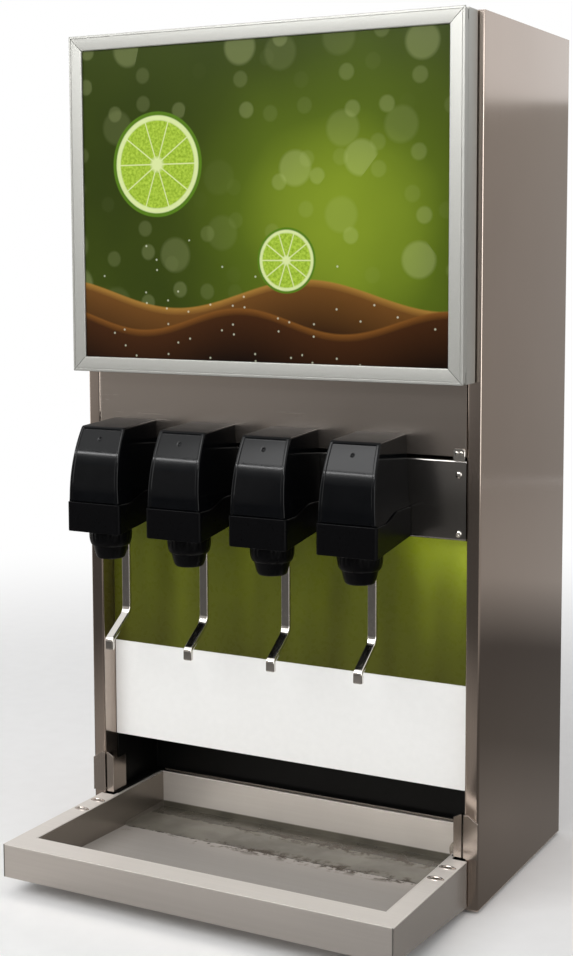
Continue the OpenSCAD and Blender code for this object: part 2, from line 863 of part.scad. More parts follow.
// Bulkhead fittings: a tube end and a shoulder under the shelf, a shank through it and a nut on top
module line_inlets() {
    under = shelf_z - shelf_t;
    color(brass) for (p = inlet_places()) translate([p[0], p[1], 0]) difference() {
        union() {
            rod_z([0, 0, under - inlet_l], inlet_r, inlet_l);
            rod_z([0, 0, under - fitting_h], nut_r, fitting_h);
            rod_z([0, 0, under], shank_r, shelf_t + nut_h);
            rod_z([0, 0, shelf_z], nut_r, nut_h);
        }
        rod_z([0, 0, under - inlet_l - cut], inlet_r - sheet_t, inlet_l);
    }
}

// A line from a mounting block back to y and down to z, with one round bend
module bent_line(x, y, z) {
    start = plate_t + block_d;
    rod_y([x, start, line_z], line_r, y - line_bend - start);
    translate([x, y - line_bend, line_z - line_bend]) rotate([90, 0, 90])
        rotate_extrude(angle = 90) translate([line_bend, 0]) circle(line_r);
    rod_z([x, y, z], line_r, line_z - line_bend - z);
}

module soda_lines() {
    color(clear_blue) {
        for (i = [0 : valve_n - 1]) bent_line(valve_x(i) - port_x, soda_y, manifold_z + manifold_half);
        rod_z([feed_x, soda_y, shelf_z + nut_h], line_r, manifold_z - manifold_half - shelf_z - nut_h);
    }
}

module syrup_lines() {
    color(clear_blue) for (i = [0 : valve_n - 1]) bent_line(valve_x(i) + port_x, syrup_y, shelf_z + nut_h);
}

module soda_manifold() {
    lo = valve_x(0) - port_x - manifold_over;
    hi = valve_x(valve_n - 1) - port_x + manifold_over;
    color(silver) union() {
        block([lo, soda_y - manifold_half, manifold_z - manifold_half],
              [hi, soda_y + manifold_half, manifold_z + manifold_half]);
        for (x = [lo + manifold_over / 2, hi - manifold_over / 2])
            block([x - manifold_half / 2, soda_y, manifold_z - manifold_half / 2],
                  [x + manifold_half / 2, back_in, manifold_z + manifold_half / 2]);
    }
}

module lever_pins() {
    color(polished) for (i = [0 : valve_n - 1]) rod_x([valve_x(i), -lever_y, pin_z], pin_r, 2 * pin_half);
}

module valve_switches() {
    hole = button_half + button_fit;
    hole_h = button_half_h + button_fit;
    color(black) for (i = [0 : valve_n - 1]) translate([valve_x(i), 0, 0]) difference() {
        block([-switch_half, -switch_rear - switch_l, switch_low], [switch_half, -switch_rear, switch_high]);
        block([-hole, -switch_rear - button_hole, button_z - hole_h],
              [hole, -switch_rear + cut, button_z + hole_h]);
    }
}

module switch_button(i) {
    color(white) translate([valve_x(i), 0, button_z])
        block([-button_half, -switch_rear - button_in, -button_half_h],
              [button_half, -lever_y - lever_t / 2 - button_gap, button_half_h]);
}

module solenoids() {
    color(black) for (i = [0 : valve_n - 1], side = [-1, 1])
        translate([valve_x(i) + side * port_x, -coil_y, seam_z1]) union() {
            cylinder(r = coil_r, h = coil_h);
            cylinder(r = coil_r / 2, h = coil_h + core_over);
        }
}

module mount_blocks() {
    color(black) for (i = [0 : valve_n - 1]) translate([valve_x(i), 0, 0]) union() {
        block([-block_half, plate_t, block_low], [block_half, plate_t + block_d, block_top]);
        for (side = [-1, 1])
            rod_y([side * port_x, -port_reach + port_fit, port_z], port_r, port_reach + plate_t);
    }
}

// The outer form of a cover, or its hollow when drawn in by a wall
module cover_form(wall) {
    front = cover_front - wall;
    top = cover_z - wall;
    rear = wall > 0 ? cover_wall : -cover_gap;
    low = wall > 0 ? -2 * cover_wall : cover_gap;
    skew = (cover_w - cover_top_w) / 2 / (cover_z - seam_z0);
    half_low = cover_w / 2 - wall + skew * (cover_gap + cover_straight);
    foot_z = seam_z0 - cover_straight;
    intersection() {
        side_shape(concat(
            [[-front, seam_z0 + low]], seam_line(low),
            [[rear, seam_z1 + low], [rear, top], [-front, top - cover_fall * front / cover_front]]
        ), cover_w);
        union() {
            block([-cover_w, -front, foot_z], [cover_w, 2 * cover_wall, cover_bend_z]);
            intersection() {
                rod_x([0, cover_r - cover_front, cover_bend_z], cover_r - wall, 2 * cover_w);
                block([-cover_w, -front, cover_bend_z], [cover_w, 2 * cover_wall, cover_z]);
            }
        }
        rotate([90, 0, 0]) translate([0, 0, -2 * cover_wall]) linear_extrude(body_d + 3 * cover_wall)
            polygon([
                [-half_low, foot_z], [half_low, foot_z],
                [cover_top_w / 2 - wall, cover_z], [-cover_top_w / 2 + wall, cover_z]
            ]);
    }
}

module valve_cover(i) {
    color(black) translate([valve_x(i), 0, 0]) difference() {
        cover_form(0);
        cover_form(cover_wall);
    }
}

module valve_body(i) {
    socket = spigot_l + slide_gap;
    color(black) translate([valve_x(i), 0, 0]) difference() {
        union() {
            side_shape(concat(
                [[-body_d, body_low], [-body_d, seam_z0]], seam_line(0),
                [[0, seam_z1], [0, body_low + body_rise]]
            ), body_w);
            rod_z([0, -nozzle_y, seat_z], collar_r, body_drop + pin_up);
        }
        rod_z([0, -nozzle_y, seat_z - cut], spigot_r + run_gap, socket + cut);
        block([-slot_half, -slot_front, body_low - cut], [slot_half, -slot_rear, seam_z1 + cut]);
        block([-switch_half - switch_fit, -switch_rear - switch_l - switch_fit, switch_low],
              [switch_half + switch_fit, -slot_rear, seam_z1 + cut]);
        rod_x([0, -lever_y, pin_z], pin_r + run_gap, 2 * pin_half);
        for (side = [-1, 1])
            rod_y([side * port_x, -port_reach, port_z], port_r + port_fit, port_reach + cut);
    }
}

module nozzle(i) {
    top = seat_z - slide_gap;
    tip = top - nozzle_l;
    bend = top - nozzle_skirt;
    color(black) translate([valve_x(i), -nozzle_y, 0]) rotate_extrude() polygon([
        [outlet_r - nozzle_wall, tip], [outlet_r - nozzle_lip, tip], [outlet_r, tip + nozzle_lip],
        [collar_r - collar_draft, bend], [collar_r, top], [spigot_r, top], [spigot_r, top + spigot_l],
        [spigot_r - nozzle_wall, top + spigot_l], [spigot_r - nozzle_wall, bend],
        [outlet_r - nozzle_wall, tip + nozzle_wall]
    ]);
}

// Points of a lever bend about c, at the radius r, from the angle a0 to a1
function bend_points(c, r, a0, a1) = [
    for (k = [0 : bend_steps]) let (a = a0 + (a1 - a0) * k / bend_steps) c + r * [cos(a), sin(a)]
];

// A bent flat bar: upright through the body, sloping forward, upright again at the pad
module lever(i) {
    y = -lever_y;
    tip_y = y - lever_reach;
    half_t = lever_t / 2;
    knee = [y - lever_bend, knee_z];
    foot = [tip_y + lever_bend, pad_z];
    color(polished) translate([valve_x(i), 0, 0]) difference() {
        union() {
            side_shape(concat(
                [[y + half_t, arm_top]],
                bend_points(knee, lever_bend + half_t, 0, -lever_lean),
                bend_points(foot, lever_bend - half_t, 180 - lever_lean, 180),
                [[tip_y + half_t, lever_low], [tip_y - half_t, lever_low]],
                bend_points(foot, lever_bend + half_t, 180, 180 - lever_lean),
                bend_points(knee, lever_bend - half_t, -lever_lean, 0),
                [[y - half_t, arm_top]]
            ), lever_w);
            rod_x([0, y, pin_z], eye_r, lever_w);
        }
        rod_x([0, y, pin_z], pin_r + run_gap, 2 * lever_w);
    }
}

place() side_panel(-1);  // side_panel_left
place() side_panel(1);  // side_panel_right
place() back_panel();
place() top_panel();
place() base_pan();
place() upper_front_panel();
place() valve_plate();
place() splash_panel();
place() splash_film();
place() tray_niche();
place() panel_clips();
place() tray_bracket(-1);  // tray_bracket_left
place() tray_bracket(1);  // tray_bracket_right
place() tray_runners();
place() feet();
place() cabinet_screws();
place() drip_tray();
place() tray_rim();
place() tray_rivets();
place() drain_spigot();
place() sign_housing();
place() sign_tape();
place() sign_print();
place() sign_diffuser();
place() led_strips();
place() sign_rail(0);  // sign_rail_top
place() sign_rail(90);  // sign_rail_right
place() sign_rail(180);  // sign_rail_bottom
place() sign_rail(-90);  // sign_rail_left
place() transformer();
place() power_inlet();
place() inlet_shelf();
place() line_inlets();
place() soda_manifold();
place() soda_lines();
place() syrup_lines();
place() lever_pins();
place() valve_switches();
place() solenoids();
place() mount_blocks();
for (i = [0 : valve_n - 1]) {
    place() valve_cover(i);
    place() valve_body(i);
    place() nozzle(i);
    place() lever(i);
    place() switch_button(i);
}
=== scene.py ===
# %% [markdown]
# # A counter-top soda fountain, dressed in Blender
# The machine is a tall cabinet of folded stainless steel. It has a framed light box on its upper
# front, a row of four lever valves, a green splash panel and a drip tray that slides out.
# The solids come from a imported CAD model, so each one is already in place, in metres. This lesson
# gives every solid its real finish, and swaps the plain solids that the eye rests on for finer
# ones.

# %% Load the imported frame
import math
from fnmatch import filter as matching
import bmesh
import bpy
import numpy as np
from mathutils import Matrix, Vector


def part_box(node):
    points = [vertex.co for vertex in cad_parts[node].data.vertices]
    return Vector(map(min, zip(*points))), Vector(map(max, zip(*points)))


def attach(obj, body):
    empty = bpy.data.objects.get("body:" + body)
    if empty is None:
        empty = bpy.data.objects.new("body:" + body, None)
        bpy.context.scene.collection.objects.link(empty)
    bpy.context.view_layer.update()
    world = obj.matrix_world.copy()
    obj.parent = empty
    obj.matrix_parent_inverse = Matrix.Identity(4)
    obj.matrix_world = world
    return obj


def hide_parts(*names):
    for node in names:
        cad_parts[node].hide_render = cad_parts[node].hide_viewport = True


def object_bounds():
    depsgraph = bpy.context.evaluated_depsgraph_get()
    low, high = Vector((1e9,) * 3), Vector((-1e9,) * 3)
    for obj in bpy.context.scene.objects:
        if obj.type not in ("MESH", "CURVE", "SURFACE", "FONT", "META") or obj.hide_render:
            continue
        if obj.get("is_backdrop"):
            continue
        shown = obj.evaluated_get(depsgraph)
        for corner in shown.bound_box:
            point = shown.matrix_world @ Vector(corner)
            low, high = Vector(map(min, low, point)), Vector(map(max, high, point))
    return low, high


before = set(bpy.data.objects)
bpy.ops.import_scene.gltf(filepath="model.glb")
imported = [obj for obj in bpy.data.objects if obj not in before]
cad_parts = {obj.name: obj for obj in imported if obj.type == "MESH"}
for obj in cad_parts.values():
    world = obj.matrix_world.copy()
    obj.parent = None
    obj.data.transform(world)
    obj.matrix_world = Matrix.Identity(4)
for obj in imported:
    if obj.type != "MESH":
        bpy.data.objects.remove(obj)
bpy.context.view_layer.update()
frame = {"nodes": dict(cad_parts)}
NODES = frame["nodes"]

# %% [markdown]
# ## Measures
# A maker measures this cabinet from the front of its posts and from its underside, in millimetres.
# One function turns such a measure into scene metres, so the numbers below can be read on a
# drawing.

# %% From a drawing's millimetres to scene metres
MM, METRE = 0.001, 1000
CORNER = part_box("side_panel_left")[0]
VALVE_X = [sum(c.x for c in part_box(f"nozzle_{i}")) / 2 / MM for i in (1, 2, 3, 4)]


def at(x, y, z):
    """A point x right of the middle, y behind the post fronts and z above the underside."""
    return Vector((x * MM, CORNER.y + y * MM, CORNER.z + z * MM))


print("valve middles in mm:", [round(x, 1) for x in VALVE_X])

# %% [markdown]
# ## Small helpers for finishes
# Colours are written as sRGB hex codes, as a paint card gives them, and Blender's sockets take
# linear light, so one function converts them. A second function adds a node with its settings and
# links, which keeps each material readable as a short list of what feeds what.


# %% Colours, nodes and materials
def linear(code):
    """The linear RGBA of an sRGB hex colour, by the curve of the sRGB standard."""
    parts = [int(code[k:k + 2], 16) / 255 for k in (1, 3, 5)]
    return (*[c / 12.92 if c <= 0.04045 else ((c + 0.055) / 1.055) ** 2.4 for c in parts], 1.0)


def feed(tree, made, links):
    """Sets a node's inputs. A value is another node, an output, a hex colour or a plain value.

    From and To take a pair, for the Min and the Max of that name.
    """
    for key, value in links.items():
        if key in ("From", "To"):
            feed(tree, made, {f"{key} Min": value[0], f"{key} Max": value[1]})
            continue
        if isinstance(value, bpy.types.Node):
            value = next(out for out in value.outputs if out.enabled)
        if isinstance(value, bpy.types.NodeSocket):
            tree.links.new(value, made.inputs[key])
        else:
            made.inputs[key].default_value = linear(value) if isinstance(value, str) else value


def node(tree, kind, links=None, stops=None, **settings):
    """Adds a shader node with its settings, its links and, on a colour ramp, its stops."""
    made = tree.nodes.new("ShaderNode" + kind)
    for key, value in settings.items():
        setattr(made, key, value)
    feed(tree, made, links or {})
    if stops:
        ramp = made.color_ramp.elements
        while len(ramp) < len(stops):
            ramp.new(1.0)
        for stop, (place, code) in zip(ramp, stops):
            stop.position, stop.color = place, linear(code)
    return made


def finish(name, **sockets):
    """A new material with its shader's own sockets set, such as Base_Color or Roughness."""
    made = bpy.data.materials.new(name)
    made.use_nodes = True
    shader = made.node_tree.nodes["Principled BSDF"]
    feed(made.node_tree, shader, {key.replace("_", " "): value for key, value in sockets.items()})
    return made, made.node_tree, shader


def grain(*sizes):
    """Mapping scales for a pattern whose features are this many millimetres along X, Y and Z."""
    return [METRE / size for size in sizes]


# The range in which most of a noise lies, and that of two noises added
NOISE, TWO_NOISES = (0.3, 0.7), (0.6, 1.4)
print("mid grey, #808080, is", round(linear("#808080")[0], 3), "in linear light")

# %% [markdown]
# ## Brushed stainless steel
# The sheets were brushed with a belt before they were folded, which leaves fine parallel lines.
# The lines blur a reflection across the grain and keep it sharp along it. A bump map alone would
# need far more samples to show that, so the shader's Anisotropic does it. Real lines are about
# 0.05 mm apart, too fine to show here, so they are drawn about 1 mm wide. A slow cloud in the
# roughness stands for hand marks and the mill's own haze.

# %% Stainless sheets
CLOUD_SIZE, LINE_DEPTH = 140, 0.1 * MM


def brushed_steel(name, tones, rough, lines, stretch, depth):
    """Brushed sheet with lines of the given size in mm; the tangent lies level on upright faces."""
    made, tree, shader = finish(name, Metallic=1.0, Anisotropic=stretch)
    spot = node(tree, "TexCoord").outputs["Object"]
    along = node(tree, "Mapping", {"Vector": spot, "Scale": grain(*lines)})
    hair = node(tree, "TexNoise", {"Vector": along, "Scale": 1.0, "Detail": 4.0, "Roughness": 0.7})
    cloud = node(tree, "TexNoise", {"Vector": spot, "Scale": METRE / CLOUD_SIZE, "Detail": 3.0,
                                    "Roughness": 0.45})
    both = node(tree, "Math", {0: hair, 1: cloud}, operation="ADD")
    tone = node(tree, "MapRange", {"Value": both, "From": TWO_NOISES})
    tint = node(tree, "ValToRGB", {"Fac": tone}, stops=[(0.0, tones[0]), (1.0, tones[1])])
    polish = node(tree, "MapRange", {"Value": both, "From": TWO_NOISES, "To": rough})
    bump = node(tree, "Bump", {"Height": hair, "Strength": depth, "Distance": LINE_DEPTH})
    level = node(tree, "Tangent", direction_type="RADIAL", axis="Z")
    feed(tree, shader, {"Base Color": tint, "Roughness": polish, "Normal": bump, "Tangent": level})
    return made


SIDE_STEEL = brushed_steel("Stainless steel, brushed upright", ("#B2A59B", "#BBAEA4"),
                           (0.12, 0.17), (1.2, 1.2, 240), 0.85, 0.03)
FRONT_STEEL = brushed_steel("Stainless steel, brushed level", ("#B7ADA4", "#BCB2A9"),
                            (0.22, 0.28), (240, 1.2, 1.2), 0.4, 0.008)
# The valve plate's steel is toned darker: painted shade from the valves that overhang it
SHADED_PLATE_STEEL = brushed_steel("Stainless steel, rolled, with painted shade", ("#94918D", "#9C9995"),
                            (0.16, 0.22), (2.4, 2.4, 160), 0.3, 0.01)
BRACKET_STEEL = brushed_steel("Stainless steel, bright rolled", ("#A09790", "#ACA39B"),
                              (0.16, 0.24), (1.6, 1.6, 120), 0.5, 0.02)
print("brushed sheets:", [m.name for m in (SIDE_STEEL, FRONT_STEEL, SHADED_PLATE_STEEL, BRACKET_STEEL)])

# %% [markdown]
# ## Polished steel
# Levers, screws and clips were tumbled or buffed, so they mirror the room with only a faint haze.
# A smooth metal would look like a rendering, so scuffs of a few millimetres vary its roughness.

# %% Polished steel
SCUFF_SIZE, SKIN_DEPTH = 4, 0.2 * MM


def buffed_steel(name, colour, rough):
    """Buffed metal: fine scuffs in the roughness and a soft waviness."""
    made, tree, shader = finish(name, Base_Color=colour, Metallic=1.0)
    spot = node(tree, "TexCoord").outputs["Object"]
    scuff = node(tree, "TexNoise", {"Vector": spot, "Scale": METRE / SCUFF_SIZE, "Detail": 4.0,
                                    "Roughness": 0.6})
    polish = node(tree, "MapRange", {"Value": scuff, "From": NOISE, "To": rough})
    bump = node(tree, "Bump", {"Height": scuff, "Strength": 0.02, "Distance": SKIN_DEPTH})
    feed(tree, shader, {"Roughness": polish, "Normal": bump})
    return made


POLISHED = buffed_steel("Stainless steel, buffed", "#DAD6D0", (0.08, 0.18))
print("polished:", POLISHED.name)

# %% [markdown]
# ## The stained tray
# The tray is bright-rolled sheet that is wiped with a wet cloth, which leaves a thin film, so part
# of the light scatters. Dried drink has stained a strip along the rear half of the floor, darkest
# in the two lines where water stood. A painted image would need a flat map of the tray, so the
# stain is worked out from the place on the floor instead.

# %% Stains on the tray's floor
STAIN_Y = [at(0, y, 0).y for y in (12, 66)]
STAIN_TONES = (("#777369", "#938F84"), ("#575349", "#6B665B"))
FLOOR_Z = [at(0, 0, z).z for z in (16.2, 14.6)]
HAZE_SIZE, BLOTCH_SIZE, WAVER, STRIP_EDGE = 45, 11, 1.2 * MM, 1.5 * MM
DRIP_X, DRIP_REACH = 45 * MM, (160 * MM, 60 * MM)
# Reach from the line, the range of the noise that shows, and the ink
MARKS = ((1.8 * MM, 0.30, 0.50, "#2E271C"), (16 * MM, 0.52, 0.62, "#45351F"))


def stained(tree, spot, part, tint):
    """Dried drink over a tint: the new tint and the mask of the stained strip."""
    cloud = node(tree, "TexNoise", {"Vector": spot, "Scale": METRE / HAZE_SIZE, "Detail": 3.0})
    blotch = node(tree, "TexNoise", {"Vector": spot, "Scale": METRE / BLOTCH_SIZE, "Detail": 6.0,
                                     "Roughness": 0.65})
    waver = node(tree, "MapRange", {"Value": cloud, "From": NOISE, "To": (-WAVER, WAVER)})
    place = node(tree, "Math", {0: part["Y"], 1: waver}, operation="ADD")
    low = node(tree, "MapRange", {"Value": part["Z"], "From": FLOOR_Z})
    # Two strips of stain, the rear one darker
    masks = []
    for line_y, tones in zip(STAIN_Y, STAIN_TONES):
        on = node(tree, "MapRange", {"Value": place, "From": (line_y, line_y + STRIP_EDGE)})
        on = node(tree, "Math", {0: on, 1: low}, operation="MULTIPLY")
        film = node(tree, "ValToRGB", {"Fac": cloud}, stops=[(0.35, tones[0]), (0.65, tones[1])])
        tint = node(tree, "Mix", {0: on, 6: tint, 7: film}, data_type="RGBA")
        masks.append(on)
    # A dark line and brown blotches at the front of each strip, most where the valves drip
    off = node(tree, "Math", {0: part["X"], 1: DRIP_X}, operation="SUBTRACT")
    off = node(tree, "Math", {0: off}, operation="ABSOLUTE")
    drips = node(tree, "MapRange", {"Value": off, "From": DRIP_REACH, "To": (-0.08, 0.06)})
    spread = node(tree, "Math", {0: blotch, 1: drips}, operation="ADD")
    for line_y in STAIN_Y:
        away = node(tree, "Math", {0: place, 1: line_y}, operation="SUBTRACT")
        away = node(tree, "Math", {0: away}, operation="ABSOLUTE")
        for reach, least, most, ink in MARKS:
            near = node(tree, "MapRange", {"Value": away, "From": (reach, reach / 5)})
            some = node(tree, "MapRange", {"Value": spread, "From": (least, most)})
            mark = node(tree, "Math", {0: near, 1: some}, operation="MULTIPLY")
            mark = node(tree, "Math", {0: mark, 1: low}, operation="MULTIPLY")
            tint = node(tree, "Mix", {0: mark, 6: tint, 7: ink}, data_type="RGBA")
    return tint, masks[0]


print("stained lines at y =", [round(y, 3) for y in STAIN_Y], "m")

# %% Tray sheet
SIDE_WALL_X, FRONT_SEAM_X = (200 * MM, 198 * MM), (215.2 * MM, 215.8 * MM)
APRON_Y, REAR_Y = ([at(0, y, 0).y for y in pair] for pair in ((-144, -152), (92.4, 92.6)))
RIM_RISE = [at(0, 0, z).z for z in (49, 49.6)]
FLOOR_METAL, WALL_METAL, APRON_METAL, RIM_METAL, REAR_METAL = 0.42, 0.8, 0.86, 0.22, 0.95
ROLL_MARKS = (200, 3, 3)


def tray_sheet():
    """Bright sheet; on the rear half of the floor it carries dried stains."""
    made, tree, shader = finish("Stainless steel, bright sheet with drink stains")
    spot = node(tree, "TexCoord").outputs["Object"]
    part = node(tree, "SeparateXYZ", {"Vector": spot}).outputs
    along = node(tree, "Mapping", {"Vector": spot, "Scale": grain(*ROLL_MARKS)})
    hair = node(tree, "TexNoise", {"Vector": along, "Scale": 1.0, "Detail": 3.0})
    tint = node(tree, "ValToRGB", {"Fac": hair}, stops=[(0.3, "#DED7D0"), (0.7, "#E2DBD4")])
    tint, dirt = stained(tree, spot, part, tint)
    # The inner faces of the side walls get painted shade: a darker tint
    facing = node(tree, "NewGeometry").outputs["Normal"]
    turn = node(tree, "SeparateXYZ", {"Vector": facing}).outputs
    aside = node(tree, "Math", {0: turn["X"]}, operation="ABSOLUTE")
    across = node(tree, "Math", {0: part["X"]}, operation="ABSOLUTE")
    wall_shade = node(tree, "MapRange", {"Value": across, "From": SIDE_WALL_X})
    wall_shade = node(tree, "Math", {0: wall_shade, 1: aside}, operation="MULTIPLY")
    tint = node(tree, "Mix", {0: wall_shade, 6: tint, 7: "#8F8880"}, data_type="RGBA")
    # The front apron ends in a dark seam at each corner
    apron = node(tree, "MapRange", {"Value": part["Y"], "From": APRON_Y})
    ahead = node(tree, "MapRange", {"Value": turn["Y"], "From": (-0.5, -0.9)})
    apron = node(tree, "Math", {0: apron, 1: ahead}, operation="MULTIPLY")
    corner = node(tree, "MapRange", {"Value": across, "From": FRONT_SEAM_X, "To": (0.0, 0.75)})
    seam = node(tree, "Math", {0: apron, 1: corner}, operation="MULTIPLY")
    tint = node(tree, "Mix", {0: seam, 6: tint, 7: "#3E3A35"}, data_type="RGBA")
    # The wiping film lies on the floor, the rear wall and the rim; the side walls and the apron
    # stay bright, and the rear edge, which nobody wipes, stays a mirror
    rear = node(tree, "MapRange", {"Value": part["Y"], "From": REAR_Y})
    tint = node(tree, "Mix", {0: rear, 6: tint, 7: "#7A756F"}, data_type="RGBA")
    high = node(tree, "MapRange", {"Value": part["Z"], "From": RIM_RISE})
    high = node(tree, "Math", {0: high, 1: rear}, operation="SUBTRACT", use_clamp=True)
    clear = node(tree, "MapRange", {"Value": aside, "To": (FLOOR_METAL, WALL_METAL)})
    for mask, share in ((apron, APRON_METAL), (high, RIM_METAL), (rear, REAR_METAL)):
        clear = node(tree, "Mix", {0: mask, 2: clear, 3: share})
    dull = node(tree, "MapRange", {"Value": dirt, "To": (1.0, 0.7)})
    metal = node(tree, "Math", {0: clear, 1: dull}, operation="MULTIPLY")
    soft = node(tree, "Math", {0: apron, 1: high}, operation="MAXIMUM")
    haze = node(tree, "MapRange", {"Value": soft, "To": (0.27, 0.46)})
    bump = node(tree, "Bump", {"Height": hair, "Strength": 0.01, "Distance": LINE_DEPTH})
    feed(tree, shader, {"Base Color": tint, "Metallic": metal, "Roughness": haze, "Normal": bump})
    return made


TRAY_STEEL = tray_sheet()
print("tray:", len(TRAY_STEEL.node_tree.nodes), "nodes")

# %% [markdown]
# ## Moulded, extruded and painted finishes
# Most other surfaces are one tone with a skin: an extrusion's die lines, a mould's texture or the
# orange peel of sprayed enamel. Each could have its own tree of nodes, but they differ only in
# numbers, so one function serves them all, with the size of the skin in mm.


# %% A finish with a skin
def plain_finish(name, colours, rough, speck, depth, top=0.0, **sockets):
    """A finish whose tone, gloss and skin vary with one noise; speck is its size in mm.

    Faces that look up are duller by top, for the dust and the wiping that they get.
    """
    made, tree, shader = finish(name, **sockets)
    spot = node(tree, "TexCoord").outputs["Object"]
    at_scale = node(tree, "Mapping", {"Vector": spot, "Scale": grain(*speck)})
    noise = node(tree, "TexNoise", {"Vector": at_scale, "Scale": 1.0, "Detail": 4.0,
                                    "Roughness": 0.55})
    tint = node(tree, "ValToRGB", {"Fac": noise}, stops=[(0.3, colours[0]), (0.7, colours[1])])
    gloss = node(tree, "MapRange", {"Value": noise, "From": NOISE, "To": rough})
    facing = node(tree, "NewGeometry").outputs["Normal"]
    upward = node(tree, "SeparateXYZ", {"Vector": facing}).outputs["Z"]
    dust = node(tree, "MapRange", {"Value": upward, "From": (0.7, 0.95), "To": (0.0, top)})
    gloss = node(tree, "Math", {0: gloss, 1: dust}, operation="ADD")
    bump = node(tree, "Bump", {"Height": noise, "Strength": depth, "Distance": SKIN_DEPTH})
    feed(tree, shader, {"Base Color": tint, "Roughness": gloss, "Normal": bump})
    return made


print("skin:", SKIN_DEPTH / MM, "mm deep at most")

# %% [markdown]
# ## The dusty top
# Nobody wipes the top of a tall machine. Dust and a film of grease scatter most of the light there,
# so the sheet hardly mirrors the lamp above it. Dust could be scattered as specks, but from any
# distance it only dulls the sheet, so a rough and partly metallic finish is enough.

# %% Dusty top
TOP_STEEL = plain_finish("Stainless steel, under dust", ("#979089", "#A19A93"), (0.5, 0.6),
                         (60, 4, 4), 0.02, Metallic=0.35)
print("top:", TOP_STEEL.name)

# %% [markdown]
# ## Anodised aluminium
# The snap frame and the light box are extruded, then etched and anodised. The etched skin scatters
# half of the light, so it looks paler and softer than steel, and Metallic is well below 1 for it.

# %% Aluminium
ALUMINIUM = plain_finish("Aluminium, silver anodised", ("#ABABA6", "#B2B2AD"), (0.34, 0.42),
                         (0.8, 0.8, 0.8), 0.02, Metallic=0.6)
print("extrusion:", ALUMINIUM.name)

# %% [markdown]
# ## Plastics and paints
# The valve covers are ABS from a polished mould, so they are glossy and nearly black, and dust
# dulls their tops. The bodies are the same plastic from a duller mould. The enamels are sprayed,
# which leaves a faint orange peel a few millimetres across.

# %% Plastics and paints
GLOSS_BLACK = plain_finish("ABS, moulded glossy black", ("#07080A", "#0A0B0D"), (0.07, 0.10),
                           (14, 14, 14), 0.01, top=0.5, IOR=1.5, Specular_IOR_Level=0.16)
# Pale grey for the covers' edges: a painted highlight, partly wear
EDGE_HIGHLIGHT_ABS = plain_finish("ABS, edges with painted highlight", ("#66676C", "#86878C"), (0.14, 0.2),
                            (3, 3, 3), 0.02, IOR=1.5, Specular_IOR_Level=1.0)
SATIN_BLACK = plain_finish("ABS, moulded satin black", ("#060607", "#08080A"), (0.27, 0.32),
                           (2.5, 2.5, 2.5), 0.006, IOR=1.5, Specular_IOR_Level=0.08)
WHITE_ENAMEL = plain_finish("Enamel, sprayed gloss white", ("#F4F4F2", "#F7F7F5"), (0.2, 0.26),
                            (8, 8, 8), 0.01, IOR=1.5)
# In the tray's niche this black is also painted shade, for the dark inside of the recess
BLACK_ENAMEL_AND_SHADE = plain_finish("Enamel, sprayed satin black, in the niche painted shade", ("#090908", "#0E0E0D"), (0.4, 0.5),
                            (2, 2, 2), 0.03, IOR=1.5, Specular_IOR_Level=0.15)
print("plastics and paints:", len(bpy.data.materials), "materials so far")

# %% [markdown]
# ## Finishes of the hidden parts
# Foam, rubber, tube and brass hardly show, but a part that is taken apart needs them. They come
# from the same function, each with the grain of its own making: cells of foam, turning marks on
# brass, and the long draw lines of a tube.

# %% Foam, rubber, tube and brass
FOAM = plain_finish("PE foam tape, black", ("#070707", "#131313"), (0.85, 0.95),
                    (0.9, 0.9, 0.9), 0.5)
RUBBER = plain_finish("Rubber, moulded black", ("#111111", "#1C1C1B"), (0.6, 0.75),
                      (1.5, 1.5, 1.5), 0.15)
BLACK_PLASTIC = plain_finish("PA, moulded matt black", ("#101011", "#19191A"), (0.45, 0.6),
                             (1.2, 1.2, 1.2), 0.1)
WHITE_PLASTIC = plain_finish("POM, moulded white", ("#E4E4E0", "#EEEEEA"), (0.3, 0.4),
                             (3, 3, 3), 0.03)
OPAL = plain_finish("Acrylic, cast opal", ("#F0F0EC", "#F6F6F3"), (0.2, 0.28), (20, 20, 20), 0.02)
LED_BOARD = plain_finish("Epoxy board, white lacquer", ("#E6E6E0", "#F2F2EC"), (0.3, 0.4),
                         (4, 4, 4), 0.05)
TUBE = plain_finish("PE, extruded natural tube", ("#C3CFD4", "#D4DEE2"), (0.3, 0.4),
                    (2, 2, 30), 0.05, Subsurface_Weight=0.2, Subsurface_Scale=0.002)
BRASS = plain_finish("Brass, turned", ("#B9904A", "#C9A25C"), (0.2, 0.32), (3, 3, 0.4), 0.08,
                     Metallic=1.0)
print("hidden parts:", len(bpy.data.materials), "materials so far")

# %% [markdown]
# ## The printed green film
# The splash panel carries a glossy film, printed in a green that runs from lime at its upper right
# to a deep olive at its foot, with soft paler columns. The tone is built from the height, the
# place across and a slow noise, and one colour ramp turns that tone into ink. Several ramps mixed
# with each other could do it too, but one ramp keeps every tone on the same line of inks.

# %% Green film
FILM_Z, FILM_X = [at(0, 0, z).z for z in (215, 372)], (60 * MM, 215 * MM)
COLUMN_SIZE, FILM_SKIN, CORNER_GAIN = (46, 400, 260), 6, 10.0


